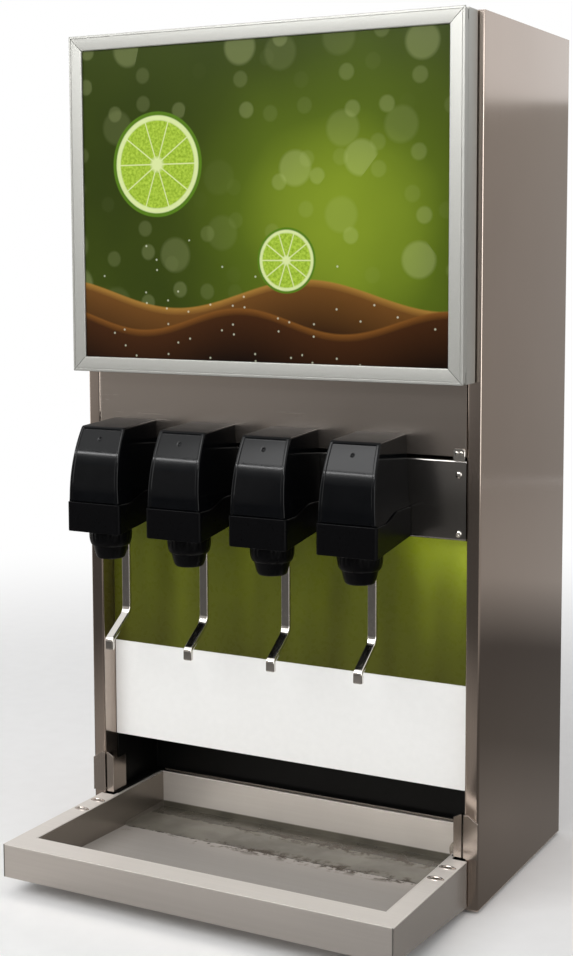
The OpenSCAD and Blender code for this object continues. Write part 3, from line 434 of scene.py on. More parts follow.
def green_film():
    """Gloss film: ink tone from height and place, paler in soft upright columns."""
    made, tree, shader = finish("PVC film, printed gloss green", IOR=1.5, Specular_IOR_Level=0.2)
    spot = node(tree, "TexCoord").outputs["Object"]
    part = node(tree, "SeparateXYZ", {"Vector": spot}).outputs
    up = node(tree, "MapRange", {"Value": part["Z"], "From": FILM_Z, "To": (0.0, 0.4)})
    across = node(tree, "MapRange", {"Value": part["X"], "From": FILM_X, "To": (0.0, 0.36)},
                  interpolation_type="SMOOTHSTEP")
    wide = node(tree, "Mapping", {"Vector": spot, "Scale": grain(*COLUMN_SIZE)})
    column = node(tree, "TexNoise", {"Vector": wide, "Scale": 1.0, "Detail": 1.0})
    patch = node(tree, "MapRange", {"Value": column, "From": (0.35, 0.7), "To": (0.0, 0.22)})
    rise = node(tree, "Math", {0: up, 1: up}, operation="MULTIPLY")
    rise = node(tree, "Math", {0: rise, 1: CORNER_GAIN}, operation="MULTIPLY")
    corner = node(tree, "Math", {0: across, 1: rise}, operation="MULTIPLY")
    lit = node(tree, "Math", {0: up, 1: corner}, operation="ADD")
    tone = node(tree, "Math", {0: lit, 1: patch}, operation="ADD")
    ink = node(tree, "ValToRGB", {"Fac": tone}, stops=[
        (0.0, "#424212"), (0.25, "#575C14"), (0.5, "#737B19"), (0.74, "#98A626"),
        (1.0, "#C2D23A")])
    skin = node(tree, "TexNoise", {"Vector": spot, "Scale": METRE / FILM_SKIN, "Detail": 2.0})
    gloss = node(tree, "MapRange", {"Value": skin, "To": (0.24, 0.32)})
    bump = node(tree, "Bump", {"Height": skin, "Strength": 0.02, "Distance": SKIN_DEPTH})
    feed(tree, shader, {"Base Color": ink, "Roughness": gloss, "Normal": bump})
    return made


GREEN_FILM = green_film()
print("film:", GREEN_FILM.name)

# %% [markdown]
# ## The face of the light box
# A light box carries a printed sheet. This one gets a generic drinks design of our own: a green
# haze with a lime glow and soft discs of light, two citrus slices and a wave of amber drink along
# the foot. An image could be wrapped on the sheet, but nodes in the sheet's own millimetres stay
# crisp at any size. Each cell below draws one layer over the colour that it is given.

# %% Green haze
MIST_SIZE, GLOW_MIDDLE, GLOW_REACH = 150, (98.0, -28.0, 0.0), 240.0


def green_haze(tree, spot, flat):
    """Dark green at the left and the top, lime in a wide glow at the right."""
    mist = node(tree, "TexNoise", {"Vector": spot, "Scale": METRE / MIST_SIZE, "Detail": 2.0})
    far = node(tree, "VectorMath", {0: flat, 1: GLOW_MIDDLE}, operation="DISTANCE")
    glow = node(tree, "MapRange", {"Value": far, "From": (GLOW_REACH, 0.0), "To": (0.0, 0.78)},
                interpolation_type="SMOOTHSTEP")
    cloudy = node(tree, "Math", {0: mist, 1: 0.34}, operation="MULTIPLY")
    tone = node(tree, "Math", {0: glow, 1: cloudy}, operation="ADD")
    return node(tree, "ValToRGB", {"Fac": tone}, stops=[
        (0.05, "#28330C"), (0.3, "#38450F"), (0.6, "#4E5F14"), (0.98, "#7E9224")])


print("glow reaches", GLOW_REACH, "mm")

# %% Soft discs of light
# The size of a cell in mm, a disc's radius in cells, and its strength
DISCS, DISC_EDGE = ((64.0, 0.30, 0.11), (38.0, 0.24, 0.08)), 0.06


def light_discs(tree, flat, colour):
    """Discs out of focus: cells of two sizes, with a disc in some of them."""
    for cell, size, strength in DISCS:
        cells = node(tree, "TexVoronoi", {"Vector": flat, "Scale": 1 / cell, "Randomness": 0.8},
                     voronoi_dimensions="2D").outputs
        disc = node(tree, "MapRange", {"Value": cells["Distance"], "To": (0.0, strength),
                                       "From": (size, size - DISC_EDGE)})
        pick = node(tree, "SeparateColor", {"Color": cells["Color"]}).outputs
        some = node(tree, "MapRange", {"Value": pick[0], "From": (0.35, 0.9)})
        shown = node(tree, "Math", {0: disc, 1: some}, operation="MULTIPLY")
        colour = node(tree, "Mix", {0: shown, 6: colour, 7: "#E4F0A6"}, data_type="RGBA")
    return colour


print("discs of", [round(2 * cell * size) for cell, size, _ in DISCS], "mm")

# %% Waves of drink
# Height, swing and length in mm, phase, and the inks from the crest downwards
WAVES = ((-92.0, 15.0, 300.0, 0.4, ("#9A7030", "#63401A", "#2E1B0B")),
         (-118.0, 12.0, 230.0, 2.1, ("#74491C", "#3C210D", "#160B05")))
WAVE_DEEP, SHORE = 52, (1.2, -0.6)


def drink_waves(tree, part, colour):
    """Two waves of amber drink that darken downwards, each with a pale crest."""
    for height, swing, span, phase, inks in WAVES:
        angle = node(tree, "Math", {0: part["X"], 1: 2 * math.pi / span}, operation="MULTIPLY")
        angle = node(tree, "Math", {0: angle, 1: phase}, operation="ADD")
        wave = node(tree, "Math", {0: angle}, operation="SINE")
        top = node(tree, "Math", {0: wave, 1: swing}, operation="MULTIPLY")
        above = node(tree, "Math", {0: part["Z"], 1: top}, operation="SUBTRACT")
        deep = node(tree, "MapRange", {"Value": above, "From": (height, height - WAVE_DEEP)})
        ink = node(tree, "ValToRGB", {"Fac": deep}, stops=[
            (0.0, inks[0]), (0.14, inks[1]), (1.0, inks[2])])
        drink = node(tree, "MapRange", {"Value": above,
                                        "From": (height + SHORE[0], height + SHORE[1])})
        colour = node(tree, "Mix", {0: drink, 6: colour, 7: ink}, data_type="RGBA")
    return colour


print("waves:", len(WAVES))

# %% Citrus slices
SLICES = (((-116.0, 40.0), 54.0), ((34.0, -58.0), 33.0))
SEGMENTS, SEGMENT_WALL = 10, (1.4, 4.6)
# Seven streaks in 20 mm of flesh
STREAK_SIZE = 20 / 7
# The rings as shares of the radius, the width in mm over which an edge fades, and the ink
RIND, PITH = (1.0, 1.0, "#4F7318"), (0.93, 1.2, "#C9D596")
PULP, PULP_FADE, HEART = 0.84, 1.5, (0.1, 0.17)


def citrus_slice(tree, flat, middle, radius, colour):
    """A round slice: rind, pith, segments and a pale heart, drawn over a colour."""
    away = node(tree, "VectorMath", {0: flat, 1: (*middle, 0.0)}, operation="SUBTRACT")
    part = node(tree, "SeparateXYZ", {"Vector": away}).outputs
    far = node(tree, "VectorMath", {0: away}, operation="LENGTH")
    angle = node(tree, "Math", {0: part["Y"], 1: part["X"]}, operation="ARCTAN2")
    swing = node(tree, "Math", {0: angle, 1: SEGMENTS / 2}, operation="MULTIPLY")
    swing = node(tree, "Math", {0: swing}, operation="SINE")
    swing = node(tree, "Math", {0: swing}, operation="ABSOLUTE")
    wall = node(tree, "Math", {0: swing, 1: far}, operation="MULTIPLY")
    streak = node(tree, "TexNoise", {"Vector": away, "Scale": 1 / STREAK_SIZE, "Detail": 3.0})
    flesh = node(tree, "ValToRGB", {"Fac": streak}, stops=[(0.3, "#7E9C24"), (0.7, "#A9C443")])
    for share, edge, ink in (RIND, PITH):
        disc = node(tree, "MapRange", {"Value": far,
                                       "From": (radius * share, radius * share - edge)})
        colour = node(tree, "Mix", {0: disc, 6: colour, 7: ink}, data_type="RGBA")
    pulp = node(tree, "MapRange", {"Value": far,
                                   "From": (radius * PULP, radius * PULP - PULP_FADE)})
    gap = node(tree, "MapRange", {"Value": wall, "From": SEGMENT_WALL})
    heart = node(tree, "MapRange", {"Value": far, "From": (radius * HEART[0], radius * HEART[1])})
    pulp = node(tree, "Math", {0: pulp, 1: gap}, operation="MULTIPLY")
    pulp = node(tree, "Math", {0: pulp, 1: heart}, operation="MULTIPLY")
    return node(tree, "Mix", {0: pulp, 6: colour, 7: flesh}, data_type="RGBA")


print("slices:", [2 * radius for _, radius in SLICES], "mm across")

# %% Fizz
FIZZ_CELL, FIZZ_SPECK, FIZZ_Z = 13.0, (0.11, 0.05), (-150.0, -20.0)


def fizz_specks(tree, flat, part, colour):
    """Small bright specks that thin out upwards."""
    cells = node(tree, "TexVoronoi", {"Vector": flat, "Scale": 1 / FIZZ_CELL},
                 voronoi_dimensions="2D").outputs
    speck = node(tree, "MapRange", {"Value": cells["Distance"], "From": FIZZ_SPECK,
                                    "To": (0.0, 0.4)})
    pick = node(tree, "SeparateColor", {"Color": cells["Color"]}).outputs
    thin = node(tree, "MapRange", {"Value": part["Z"], "From": FIZZ_Z, "To": (0.78, 1.0)})
    some = node(tree, "Math", {0: pick[0], 1: thin}, operation="GREATER_THAN")
    fizz = node(tree, "Math", {0: speck, 1: some}, operation="MULTIPLY")
    return node(tree, "Mix", {0: fizz, 6: colour, 7: "#F2F6D8"}, data_type="RGBA")


print("specks of", round(2 * FIZZ_CELL * FIZZ_SPECK[1], 1), "mm")

# %% Printed face
SIGN_MIDDLE, PRINT_SKIN = sum(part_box("sign_print"), Vector()) / 2, 5


def printed_face():
    """Gloss print in millimetres from the middle of the sheet."""
    made, tree, shader = finish("Polyester print, gloss", IOR=1.5, Roughness=0.2,
                                Specular_IOR_Level=0.1)
    spot = node(tree, "TexCoord").outputs["Object"]
    moved = node(tree, "VectorMath", {0: spot, 1: SIGN_MIDDLE}, operation="SUBTRACT")
    sheet = node(tree, "VectorMath", {0: moved, "Scale": METRE}, operation="SCALE")
    part = node(tree, "SeparateXYZ", {"Vector": sheet}).outputs
    flat = node(tree, "CombineXYZ", {"X": part["X"], "Y": part["Z"]})
    colour = green_haze(tree, spot, flat)
    colour = light_discs(tree, flat, colour)
    colour = drink_waves(tree, part, colour)
    for middle, radius in SLICES:
        colour = citrus_slice(tree, flat, middle, radius, colour)
    colour = fizz_specks(tree, flat, part, colour)
    skin = node(tree, "TexNoise", {"Vector": spot, "Scale": METRE / PRINT_SKIN, "Detail": 2.0})
    bump = node(tree, "Bump", {"Height": skin, "Strength": 0.01, "Distance": SKIN_DEPTH})
    feed(tree, shader, {"Base Color": colour, "Normal": bump})
    return made


SIGN_PRINT = printed_face()
print("printed face:", len(SIGN_PRINT.node_tree.nodes), "nodes")

# %% [markdown]
# ## Finishes for the solids that stay
# A CAD solid whose shape is right stays in the scene. It gets its finish, and three modifiers that
# leave its mesh alone: Weld joins the split corners of the import, Bevel eases the edges as a press
# brake does, and Weighted Normal keeps the large faces flat in the light.

# %% Finish of each solid
CAD_FINISH = (
    (SIDE_STEEL, "side_panel_* back_panel"), (TOP_STEEL, "top_panel"),
    (FRONT_STEEL, "base_pan upper_front_panel drain_spigot inlet_shelf soda_manifold"),
    (SHADED_PLATE_STEEL, "valve_plate"), (BRACKET_STEEL, "tray_bracket_*"),
    (TRAY_STEEL, "drip_tray tray_rim"),
    (POLISHED, "panel_clips cabinet_screws tray_rivets lever_pins lever_?"),
    (ALUMINIUM, "sign_housing sign_rail_*"), (SIGN_PRINT, "sign_print"), (FOAM, "sign_tape"),
    (OPAL, "sign_diffuser"), (LED_BOARD, "led_strips"), (WHITE_ENAMEL, "splash_panel"),
    # The niche's black is partly painted shade
    (GREEN_FILM, "splash_film"), (BLACK_ENAMEL_AND_SHADE, "tray_niche tray_runners transformer"),
    (GLOSS_BLACK, "valve_cover_*"), (SATIN_BLACK, "valve_body_* nozzle_*"),
    (WHITE_PLASTIC, "switch_button_*"), (RUBBER, "feet"), (BRASS, "line_inlets"),
    (BLACK_PLASTIC, "power_inlet valve_switches solenoids mount_blocks"), (TUBE, "*_lines"),
)
dressed = []
for material, patterns in CAD_FINISH:
    for name in [n for pattern in patterns.split() for n in matching(NODES, pattern)]:
        NODES[name].data.materials.clear()
        NODES[name].data.materials.append(material)
        dressed.append(name)
assert sorted(dressed) == sorted(NODES), "a solid has no finish, or two"
print("dressed:", len(dressed), "solids")

# %% Eased edges
SOFT_EDGES = {
    0.6: "upper_front_panel splash_panel top_panel drip_tray tray_rim base_pan tray_niche "
         "tray_runners",
    1.0: "feet power_inlet transformer mount_blocks",
    0.3: "sign_housing valve_switches line_inlets drain_spigot soda_manifold",
}
SAME_POINT, EDGE_ANGLE = 1e-6, math.radians(40)
for width, names in SOFT_EDGES.items():
    for solid in [NODES[name] for name in names.split()]:
        solid.modifiers.new("joined corners", "WELD").merge_threshold = SAME_POINT
        bevel = solid.modifiers.new("eased edges", "BEVEL")
        bevel.width, bevel.segments = width * MM, 2
        bevel.limit_method, bevel.angle_limit = "ANGLE", EDGE_ANGLE
        solid.modifiers.new("flat faces", "WEIGHTED_NORMAL").keep_sharp = True
print("eased:", sum(len(names.split()) for names in SOFT_EDGES.values()), "solids")

# %% [markdown]
# ## A bench for new pieces
# Each new piece is a mesh in the same millimetres, which rides on a body of the machine and stands
# for the CAD solid in its place. Smooth shading with a sharpness limit keeps round edges round and
# flat faces flat.


# %% Meshes and pieces
def smooth(mesh, sharp):
    """Smooth shading, apart from edges that turn by more than an angle in degrees."""
    mesh.shade_smooth()
    mesh.set_sharp_from_angle(angle=math.radians(sharp))
    return mesh


def mesh_of(name, points, faces, sharp=30):
    """A mesh from points in cabinet millimetres, with outward normals."""
    made = bpy.data.meshes.new(name)
    made.from_pydata([at(*p) for p in points], [], faces)
    work = bmesh.new()
    work.from_mesh(made)
    bmesh.ops.remove_doubles(work, verts=work.verts, dist=1e-7)
    bmesh.ops.recalc_face_normals(work, faces=work.faces)
    work.to_mesh(made)
    work.free()
    return smooth(made, sharp)


def tube_faces(count, around):
    """Faces between rings of points, numbered ring after ring, with the two end faces."""
    faces = [(a * around + k, a * around + (k + 1) % around, (a + 1) * around + (k + 1) % around,
              (a + 1) * around + k) for a in range(count - 1) for k in range(around)]
    return faces + [tuple(range(around)), tuple(range((count - 1) * around, count * around))]


def new_piece(name, mesh, material, slot, body, *stands_for):
    """Puts a mesh in the scene as a piece of the machine."""
    piece = bpy.data.objects.new(name, mesh)
    bpy.context.scene.collection.objects.link(piece)
    mesh.materials.clear()
    mesh.materials.append(material)
    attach(piece, body)
    if stands_for:
        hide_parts(*stands_for)
    return piece


print("bench ready")

# %% [markdown]
# ## Folded sheets
# A press brake folds a sheet over a blunt edge, so every fold is a small round, not a sharp corner.
# That round catches a thin line of light all along the posts and the valve plate. A bevel on the
# CAD solid would leave the inside of the fold sharp, so a folded sheet is drawn as its middle line,
# thickened to both sides and pulled along straight.


# %% A bent line and the section of a folded sheet
def bent_path(corners, bends, steps=6):
    """Points and directions along a line of corners, each rounded to its bend radius."""
    corners = np.array(corners, float)
    ways = np.diff(corners, axis=0)
    ways /= np.linalg.norm(ways, axis=1)[:, None]
    line = [(corners[0], ways[0])]
    for corner, way, after, bend in zip(corners[1:], ways, ways[1:], bends):
        turn = math.atan2(way[0] * after[1] - way[1] * after[0], way @ after)
        start = corner - way * bend * math.tan(abs(turn) / 2)
        middle = start + math.copysign(bend, turn) * np.array((-way[1], way[0]))
        for a in np.linspace(0, turn, steps + 1):
            spin = np.array(((math.cos(a), -math.sin(a)), (math.sin(a), math.cos(a))))
            line.append((middle + spin @ (start - middle), spin @ way))
    return line + [(corners[-1], ways[-1])]


SHEET, FOLD_R = 1.5, 1.6
HALF_SHEET = SHEET / 2


def folded_section(corners):
    """The outline of a folded sheet from the corners of its middle line."""
    line = bent_path(corners, [FOLD_R] * len(corners))
    sides = [[(p[0] - way[1] * out, p[1] + way[0] * out) for p, way in line]
             for out in (-HALF_SHEET, HALF_SHEET)]
    return sides[0] + sides[1][::-1]


print("fold radius outside:", FOLD_R + HALF_SHEET, "mm")

# %% Side panels
POST_IN, HALF_W, DEEP, HIGH, RETURN, REAR_FLANGE = 213.0, 228.0, 250.0, 872.0, 40.0, 15.0
RETURN_TRIM, RETURN_X, RETURN_Y = 1.9, POST_IN + 1.6, 2.2
section = folded_section([
    (POST_IN + HALF_SHEET, RETURN), (POST_IN + HALF_SHEET, HALF_SHEET),
    (HALF_W - HALF_SHEET, HALF_SHEET), (HALF_W - HALF_SHEET, DEEP - HALF_SHEET),
    (HALF_W - REAR_FLANGE, DEEP - HALF_SHEET)])
for side, sign in (("left", -1), ("right", 1)):
    # The return behind the post stops short of the top and the foot
    points = [(sign * x, y, trim if x < RETURN_X and y > RETURN_Y else end)
              for end, trim in ((0.0, RETURN_TRIM), (HIGH, HIGH - RETURN_TRIM)) for x, y in section]
    new_piece(f"folded_side_{side}", mesh_of("side", points, tube_faces(2, len(section))),
              SIDE_STEEL, "brushed_stainless", "cabinet", f"side_panel_{side}")
print("side panels:", len(section), "points round each section")

# %% Valve plate
PANEL_HALF, PLATE_LOW, PLATE_HIGH, PLATE_BACK, PLATE_FOLD = 212.6, 368.0, 447.0, 23.5, 14.0
section = folded_section([
    (PLATE_BACK, PLATE_LOW + HALF_SHEET), (HALF_SHEET, PLATE_LOW + HALF_SHEET),
    (HALF_SHEET, PLATE_HIGH - HALF_SHEET), (PLATE_FOLD, PLATE_HIGH - HALF_SHEET)])
points = [(x, y, z) for x in (-PANEL_HALF, PANEL_HALF) for y, z in section]
new_piece("folded_plate", mesh_of("plate", points, tube_faces(2, len(section))), SHADED_PLATE_STEEL,
          "dark_stainless", "cabinet", "valve_plate")
print("valve plate:", PLATE_HIGH - PLATE_LOW, "mm high")

# %% [markdown]
# ## Tray brackets
# A bracket over the foot of each post holds the tray's runner. It is an angle of bright sheet: a
# cap over the post with one corner cut off, and beside it a leg that is set back by a millimetre,
# with a return into the niche and a strip behind that ties it to the post. Each plate is drawn as
# its outline, and given a small chamfer all round that catches the light, as a deburred edge does.

# %% Outlines of a bracket's plates
BRACKET_LOW, BRACKET_HIGH, BRACKET_IN, BRACKET_CUT, BRACKET_SLOPE = 52.1, 96.1, 202.0, 7.0, 4.0
CAP_IN, LEG_OUT, CUT_Z = POST_IN - 0.3, POST_IN - 2.2, BRACKET_HIGH - BRACKET_CUT
TIE_X, TIE_Z = (BRACKET_IN + 0.2, POST_IN + 1), (BRACKET_LOW + 0.4, CUT_Z - 4)
CHAMFER, LAID_ON, LEG_FRONT, TIE_Y, BACK_Y = 0.3, -0.02, -0.7, (1.5, 3.0), (-0.4, 24.0)


def cut_plate(outline, front, back):
    """A plate from its (x, z) outline, chamfered round its front face."""
    middle = np.mean(outline, axis=0)
    small = [np.array(p) + CHAMFER * np.sign(middle - p) for p in outline]
    rings = ((small, front), (outline, front + CHAMFER), (outline, back))
    points = [(x, y, z) for ring, y in rings for x, z in ring]
    return points, tube_faces(3, len(outline))


def oblong(x, z):
    """The outline of a plain strip."""
    return [(x[0], z[0]), (x[1], z[0]), (x[1], z[1]), (x[0], z[1])]


cap = [(CAP_IN, BRACKET_LOW), (HALF_W, BRACKET_LOW), (HALF_W, CUT_Z),
       (HALF_W - BRACKET_CUT - BRACKET_SLOPE, BRACKET_HIGH), (CAP_IN, BRACKET_HIGH)]
leg = [(BRACKET_IN, BRACKET_LOW), (LEG_OUT, BRACKET_LOW), (LEG_OUT, BRACKET_HIGH),
       (BRACKET_IN + BRACKET_CUT, BRACKET_HIGH), (BRACKET_IN, BRACKET_HIGH - BRACKET_SLOPE)]
tie = oblong(TIE_X, TIE_Z)
back = oblong((BRACKET_IN, BRACKET_IN + SHEET), (BRACKET_LOW, CUT_Z))
print("bracket:", round(HALF_W - BRACKET_IN), "mm wide")

# %% Two brackets
for side, sign in (("left", -1), ("right", 1)):
    points, faces = [], []
    for outline, front, rear in ((cap, -SHEET, LAID_ON), (leg, LEG_FRONT, LAID_ON),
                                 (tie, *TIE_Y), (back, *BACK_Y)):
        plate, around = cut_plate(outline, front, rear)
        faces += [tuple(len(points) + k for k in face) for face in around]
        points += [(sign * x, y, z) for x, y, z in plate]
    new_piece(f"post_bracket_{side}", mesh_of("bracket", points, faces), BRACKET_STEEL,
              "polished_stainless", "cabinet", f"tray_bracket_{side}")
print("brackets:", len(points), "points each")

# %% [markdown]
# ## Snap rails of the light box
# A snap frame is cut from one extrusion with mitred ends. Each rail hinges on a bead at its outer
# rear edge. From the front it shows a thin ridge along the outer edge, a groove, and a wide face
# that falls slightly towards the picture. The profile is drawn once as (inwards, back) points, and
# each end is cut at 45 degrees by drawing every point in by its own distance from the edge, which
# is simpler than a boolean and leaves clean faces.

# %% Profile of a rail
PLATE = [(0, 1.5), (0, 0.75), (0.2, 0.25), (0.7, 0), (2.3, 0), (2.55, 0.15), (2.7, 0.6),
         (3.0, 0.6), (3.2, 0.1), (14.4, 0.3), (15.1, 0.5), (15.5, 1.0), (15.5, 2.7), (14.0, 2.7),
         (14.0, 1.5), (1.5, 1.5)]
FLANGE = [(1.5, 1.5), (1.5, 8.0), (0, 6.5), (0, 1.5)]
MITRE_GAP, FLANGE_CUT = 0.35, 2.1
BEAD_CUT, BEAD_R, BEAD_U, BEAD_V, BEAD_SIDES = 12.0, 1.4, 1.5, 8.0, 16
sign_low, sign_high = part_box("sign_rail_left")[0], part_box("sign_rail_right")[1]
SIGN_W, SIGN_H = ((sign_high.x - sign_low.x) / 2 / MM, (sign_high.z - sign_low.z) / 2 / MM)
SIGN_FRONT = (sign_low.y - CORNER.y) / MM
SIGN_Z = ((sign_high.z + sign_low.z) / 2 - CORNER.z) / MM
print("snap frame:", round(2 * SIGN_W), "by", round(2 * SIGN_H), "mm")


# %% Snap rails
def snap_rail(name, out, along, depth, half):
    """One rail; out and along are (x, z) directions, depth the way out, half the half length."""
    def spot(s, u, v):
        return (out[0] * (depth - u) + along[0] * s, SIGN_FRONT + v,
                SIGN_Z + out[1] * (depth - u) + along[1] * s)

    points, n, m = [], len(PLATE), len(FLANGE)
    for side in (-1, 1):
        points += [spot(side * (half - MITRE_GAP - u), u, v) for u, v in PLATE]
        points += [spot(side * (half - FLANGE_CUT), u, v) for u, v in FLANGE]
    far = n + m
    # Long faces, then the two where plate and flange meet, then the ends
    faces = [(k, k + 1, far + k + 1, far + k) for k in (*range(1, n - 2), *range(n, far - 1))]
    faces += [(0, far - 1, 2 * far - 1, far, far + 1, 1),
              (n - 2, n - 1, n, far + n, far + n - 1, far + n - 2)]
    for end in (0, far):
        faces += [tuple(end + k for k in range(n)), tuple(end + n + k for k in range(m)),
                  (end, end + n - 1, end + n, end + far - 1)]
    start = len(points)
    for side in (-1, 1):
        points += [spot(side * (half - BEAD_CUT), BEAD_U + BEAD_R * math.cos(a),
                        BEAD_V + BEAD_R * math.sin(a))
                   for a in np.linspace(0, 2 * math.pi, BEAD_SIDES, endpoint=False)]
    faces += [tuple(start + k for k in face) for face in tube_faces(2, BEAD_SIDES)]
    return mesh_of(name, points, faces, 20)


for side, out, along, depth, half in (("top", (0, 1), (1, 0), SIGN_H, SIGN_W),
                                      ("bottom", (0, -1), (-1, 0), SIGN_H, SIGN_W),
                                      ("left", (-1, 0), (0, 1), SIGN_W, SIGN_H),
                                      ("right", (1, 0), (0, -1), SIGN_W, SIGN_H)):
    rail = snap_rail(f"snap_rail_{side}", out, along, depth, half)
    new_piece(f"snap_rail_{side}", rail, ALUMINIUM, "anodised_aluminium", f"rail_{side}",
              f"sign_rail_{side}")
print("snap rails:", len(rail.vertices), "points each")

# %% [markdown]
# ## Valve covers
# A valve cover is a thin ABS moulding with a straight foot, a long curved front, a rounded brow
# and a nearly level top. A rim runs round the front panel, which is sunk by less than a millimetre,
# and a small dimple marks where the moulding gate was cut off. The cover narrows towards its top.
# Subdivision would soften the crisp rim, so the front and top are one lofted strip: a side outline
# with its true directions, and a rounded and rimmed section across it. Solidify gives it its wall.

# %% Joint and width of a cover
COVER_TOP, COVER_HALF, COVER_TAPER = 470.0, 31.0, 4.0
SEAM_FRONT, SEAM_REAR, SEAM_Y, SEAM_STEPS, GAP = 389.0, 398.0, (-62.0, -26.0), 13, 0.4


def seam(y):
    """Height of the S-shaped joint between cover and body."""
    t = min(max((y - SEAM_Y[0]) / (SEAM_Y[1] - SEAM_Y[0]), 0.0), 1.0)
    return SEAM_FRONT + (SEAM_REAR - SEAM_FRONT) * t * t * (3 - 2 * t)


def half_width(z):
    """Half the width of a cover at a height."""
    return COVER_HALF - COVER_TAPER * (z - SEAM_FRONT) / (COVER_TOP - SEAM_FRONT)


print("cover widths in mm:", [2 * half_width(z) for z in (SEAM_FRONT, COVER_TOP)])

# %% Side outline of a cover
COVER_FRONT, COVER_BEND, COVER_R, COVER_FALL, BROW_TURN = -79.0, 400.0, 125.0, 4.0, 31.5
FOOT_Z, TOP_Y, FRONT_STEPS, BROW_STEPS = (391.0, 394.0, 397.0), (-40.0, -20.0), 91, 11


def heading(angle):
    """The (y, z) direction of an angle."""
    return np.array((math.cos(angle), math.sin(angle)))


def cover_outline():
    """Stations (y, z, direction) up the front, over the brow and back along the top."""
    stations = [((COVER_FRONT, z), math.pi / 2) for z in (SEAM_FRONT + GAP, *FOOT_Z)]
    middle = COVER_FRONT + COVER_R
    for a in np.radians(np.linspace(0, BROW_TURN, FRONT_STEPS)):
        stations.append(((middle - COVER_R * math.cos(a), COVER_BEND + COVER_R * math.sin(a)),
                         math.pi / 2 - a))
    slope = COVER_FALL / -COVER_FRONT
    first, way = np.array(stations[-1][0]), heading(stations[-1][1])
    reach = (COVER_TOP + slope * first[0] - first[1]) / (way[1] - slope * way[0])
    knee = first + way * reach
    last = knee + reach * heading(math.atan(slope))
    for t in np.linspace(0, 1, BROW_STEPS)[1:]:
        spot = (1 - t) ** 2 * first + 2 * t * (1 - t) * knee + t * t * last
        run = (1 - t) * (knee - first) + t * (last - knee)
        stations.append((tuple(spot), math.atan2(run[1], run[0])))
    return stations + [((y, COVER_TOP + slope * y), math.atan(slope)) for y in (*TOP_Y, -GAP)]


print("outline:", len(cover_outline()), "stations")

# %% Section across a cover
WALL, EDGE_R, RIM, SUNK = 2.4, 2.0, 3.8, 0.9
DIMPLE_Z, DIMPLE_R, DIMPLE_DEEP, DIMPLE_X = 455.0, 1.9, 0.9, np.linspace(-3, 3, 9)
PANEL_TOP, PANEL_FADE = COVER_BEND + COVER_R * math.sin(math.radians(BROW_TURN)) - 0.2, 0.7
# From the side inwards: distance in, lift, and whether it follows the sunk panel
ROUND = [(EDGE_R * (1 - math.cos(a)), -EDGE_R * (1 - math.sin(a)), False)
         for a in np.linspace(0, math.pi / 2, 9)]
STEP = [(RIM - 0.6, 0.0, False), (RIM - 0.2, -0.1, True), (RIM + 0.1, -0.4, True),
        (RIM + 0.5, -SUNK, True), (RIM + 3, -SUNK, True), (RIM + 12, -SUNK, True)]


def cover_ring(y, z, way, sunk):
    """The points across a cover at one station, from its left side to its right."""
    out = np.array((-math.sin(way), math.cos(way)))
    right = []
    for inset, lift, panel in ROUND + STEP:
        py, pz = (y, z) + out * lift * (sunk if panel else 1.0)
        right.append((half_width(pz) - inset, py, pz))
    middle = []
    for x in DIMPLE_X:
        dip = max(0.0, 1 - (math.hypot(x, z - DIMPLE_Z) / DIMPLE_R) ** 2)
        middle.append((x, *((y, z) - out * (SUNK * sunk + DIMPLE_DEEP * dip))))
    return [(-x, py, pz) for x, py, pz in right] + middle + right[::-1]


print("section:", 2 * len(ROUND + STEP) + len(DIMPLE_X), "points")


# %% A cover's mesh
def cover_mesh():
    """One cover about x = 0."""
    stations = cover_outline()
    depths = [min(max((PANEL_TOP - z) / PANEL_FADE, 0.0), 1.0) for (_, z), _ in stations]
    rings = [cover_ring(y, z, way, sunk) for ((y, z), way), sunk in zip(stations, depths)]
    n = len(rings[0])
    points = [p for ring in rings for p in ring]
    faces = [(a * n + k, a * n + k + 1, (a + 1) * n + k + 1, (a + 1) * n + k)
             for a in range(len(rings) - 1) for k in range(n - 1)]
    foot = [-GAP, *np.linspace(SEAM_Y[1], SEAM_Y[0], SEAM_STEPS)]
    for side, sign in ((0, -1), (n - 1, 1)):
        start = len(points)
        points += [(sign * half_width(seam(y) + GAP), y, seam(y) + GAP) for y in foot]
        faces.append(tuple(k * n + side for k in range(len(rings)))
                     + tuple(start + k for k in range(len(foot))))
    made = mesh_of("cover", points, faces, 35)
    # Painted highlight, partly wear: both long edges and the inner edge of the rim round the panel
    for a, (low, high) in enumerate(zip(depths, depths[1:])):
        for k in range(n - 1):
            column = min(k, n - 2 - k)
            rim = len(ROUND) <= column <= len(ROUND) + 1 and low > 0
            brow = column > len(ROUND) and low > high
            if 2 <= column < len(ROUND) - 1 or rim or brow:
                made.polygons[a * (n - 1) + k].material_index = 1
    return made


cover = cover_mesh()
print("cover:", len(cover.vertices), "points")


# %% Four covers
def one_per_valve(name, mesh, material, slot, body, stands_for):
    """Copies of a mesh drawn about x = 0, one at each valve; {} in a body is the valve's number."""
    pieces = []
    for i, x in enumerate(VALVE_X, 1):
        copy = mesh.copy()
        copy.transform(Matrix.Translation((x * MM, 0, 0)))
        pieces.append(new_piece(f"{name}_{i}", copy, material, slot, body.format(i),
                                f"{stands_for}_{i}"))
    return pieces


covers = one_per_valve("moulded_cover", cover, GLOSS_BLACK, "gloss_black", "cabinet", "valve_cover")
for piece in covers:
    piece.data.materials.append(EDGE_HIGHLIGHT_ABS)
    wall = piece.modifiers.new("moulded wall", "SOLIDIFY")
    wall.thickness, wall.offset = WALL * MM, -1.0
    piece.modifiers.new("flat sides", "WEIGHTED_NORMAL").keep_sharp = True
print("covers:", [piece.name for piece in covers])

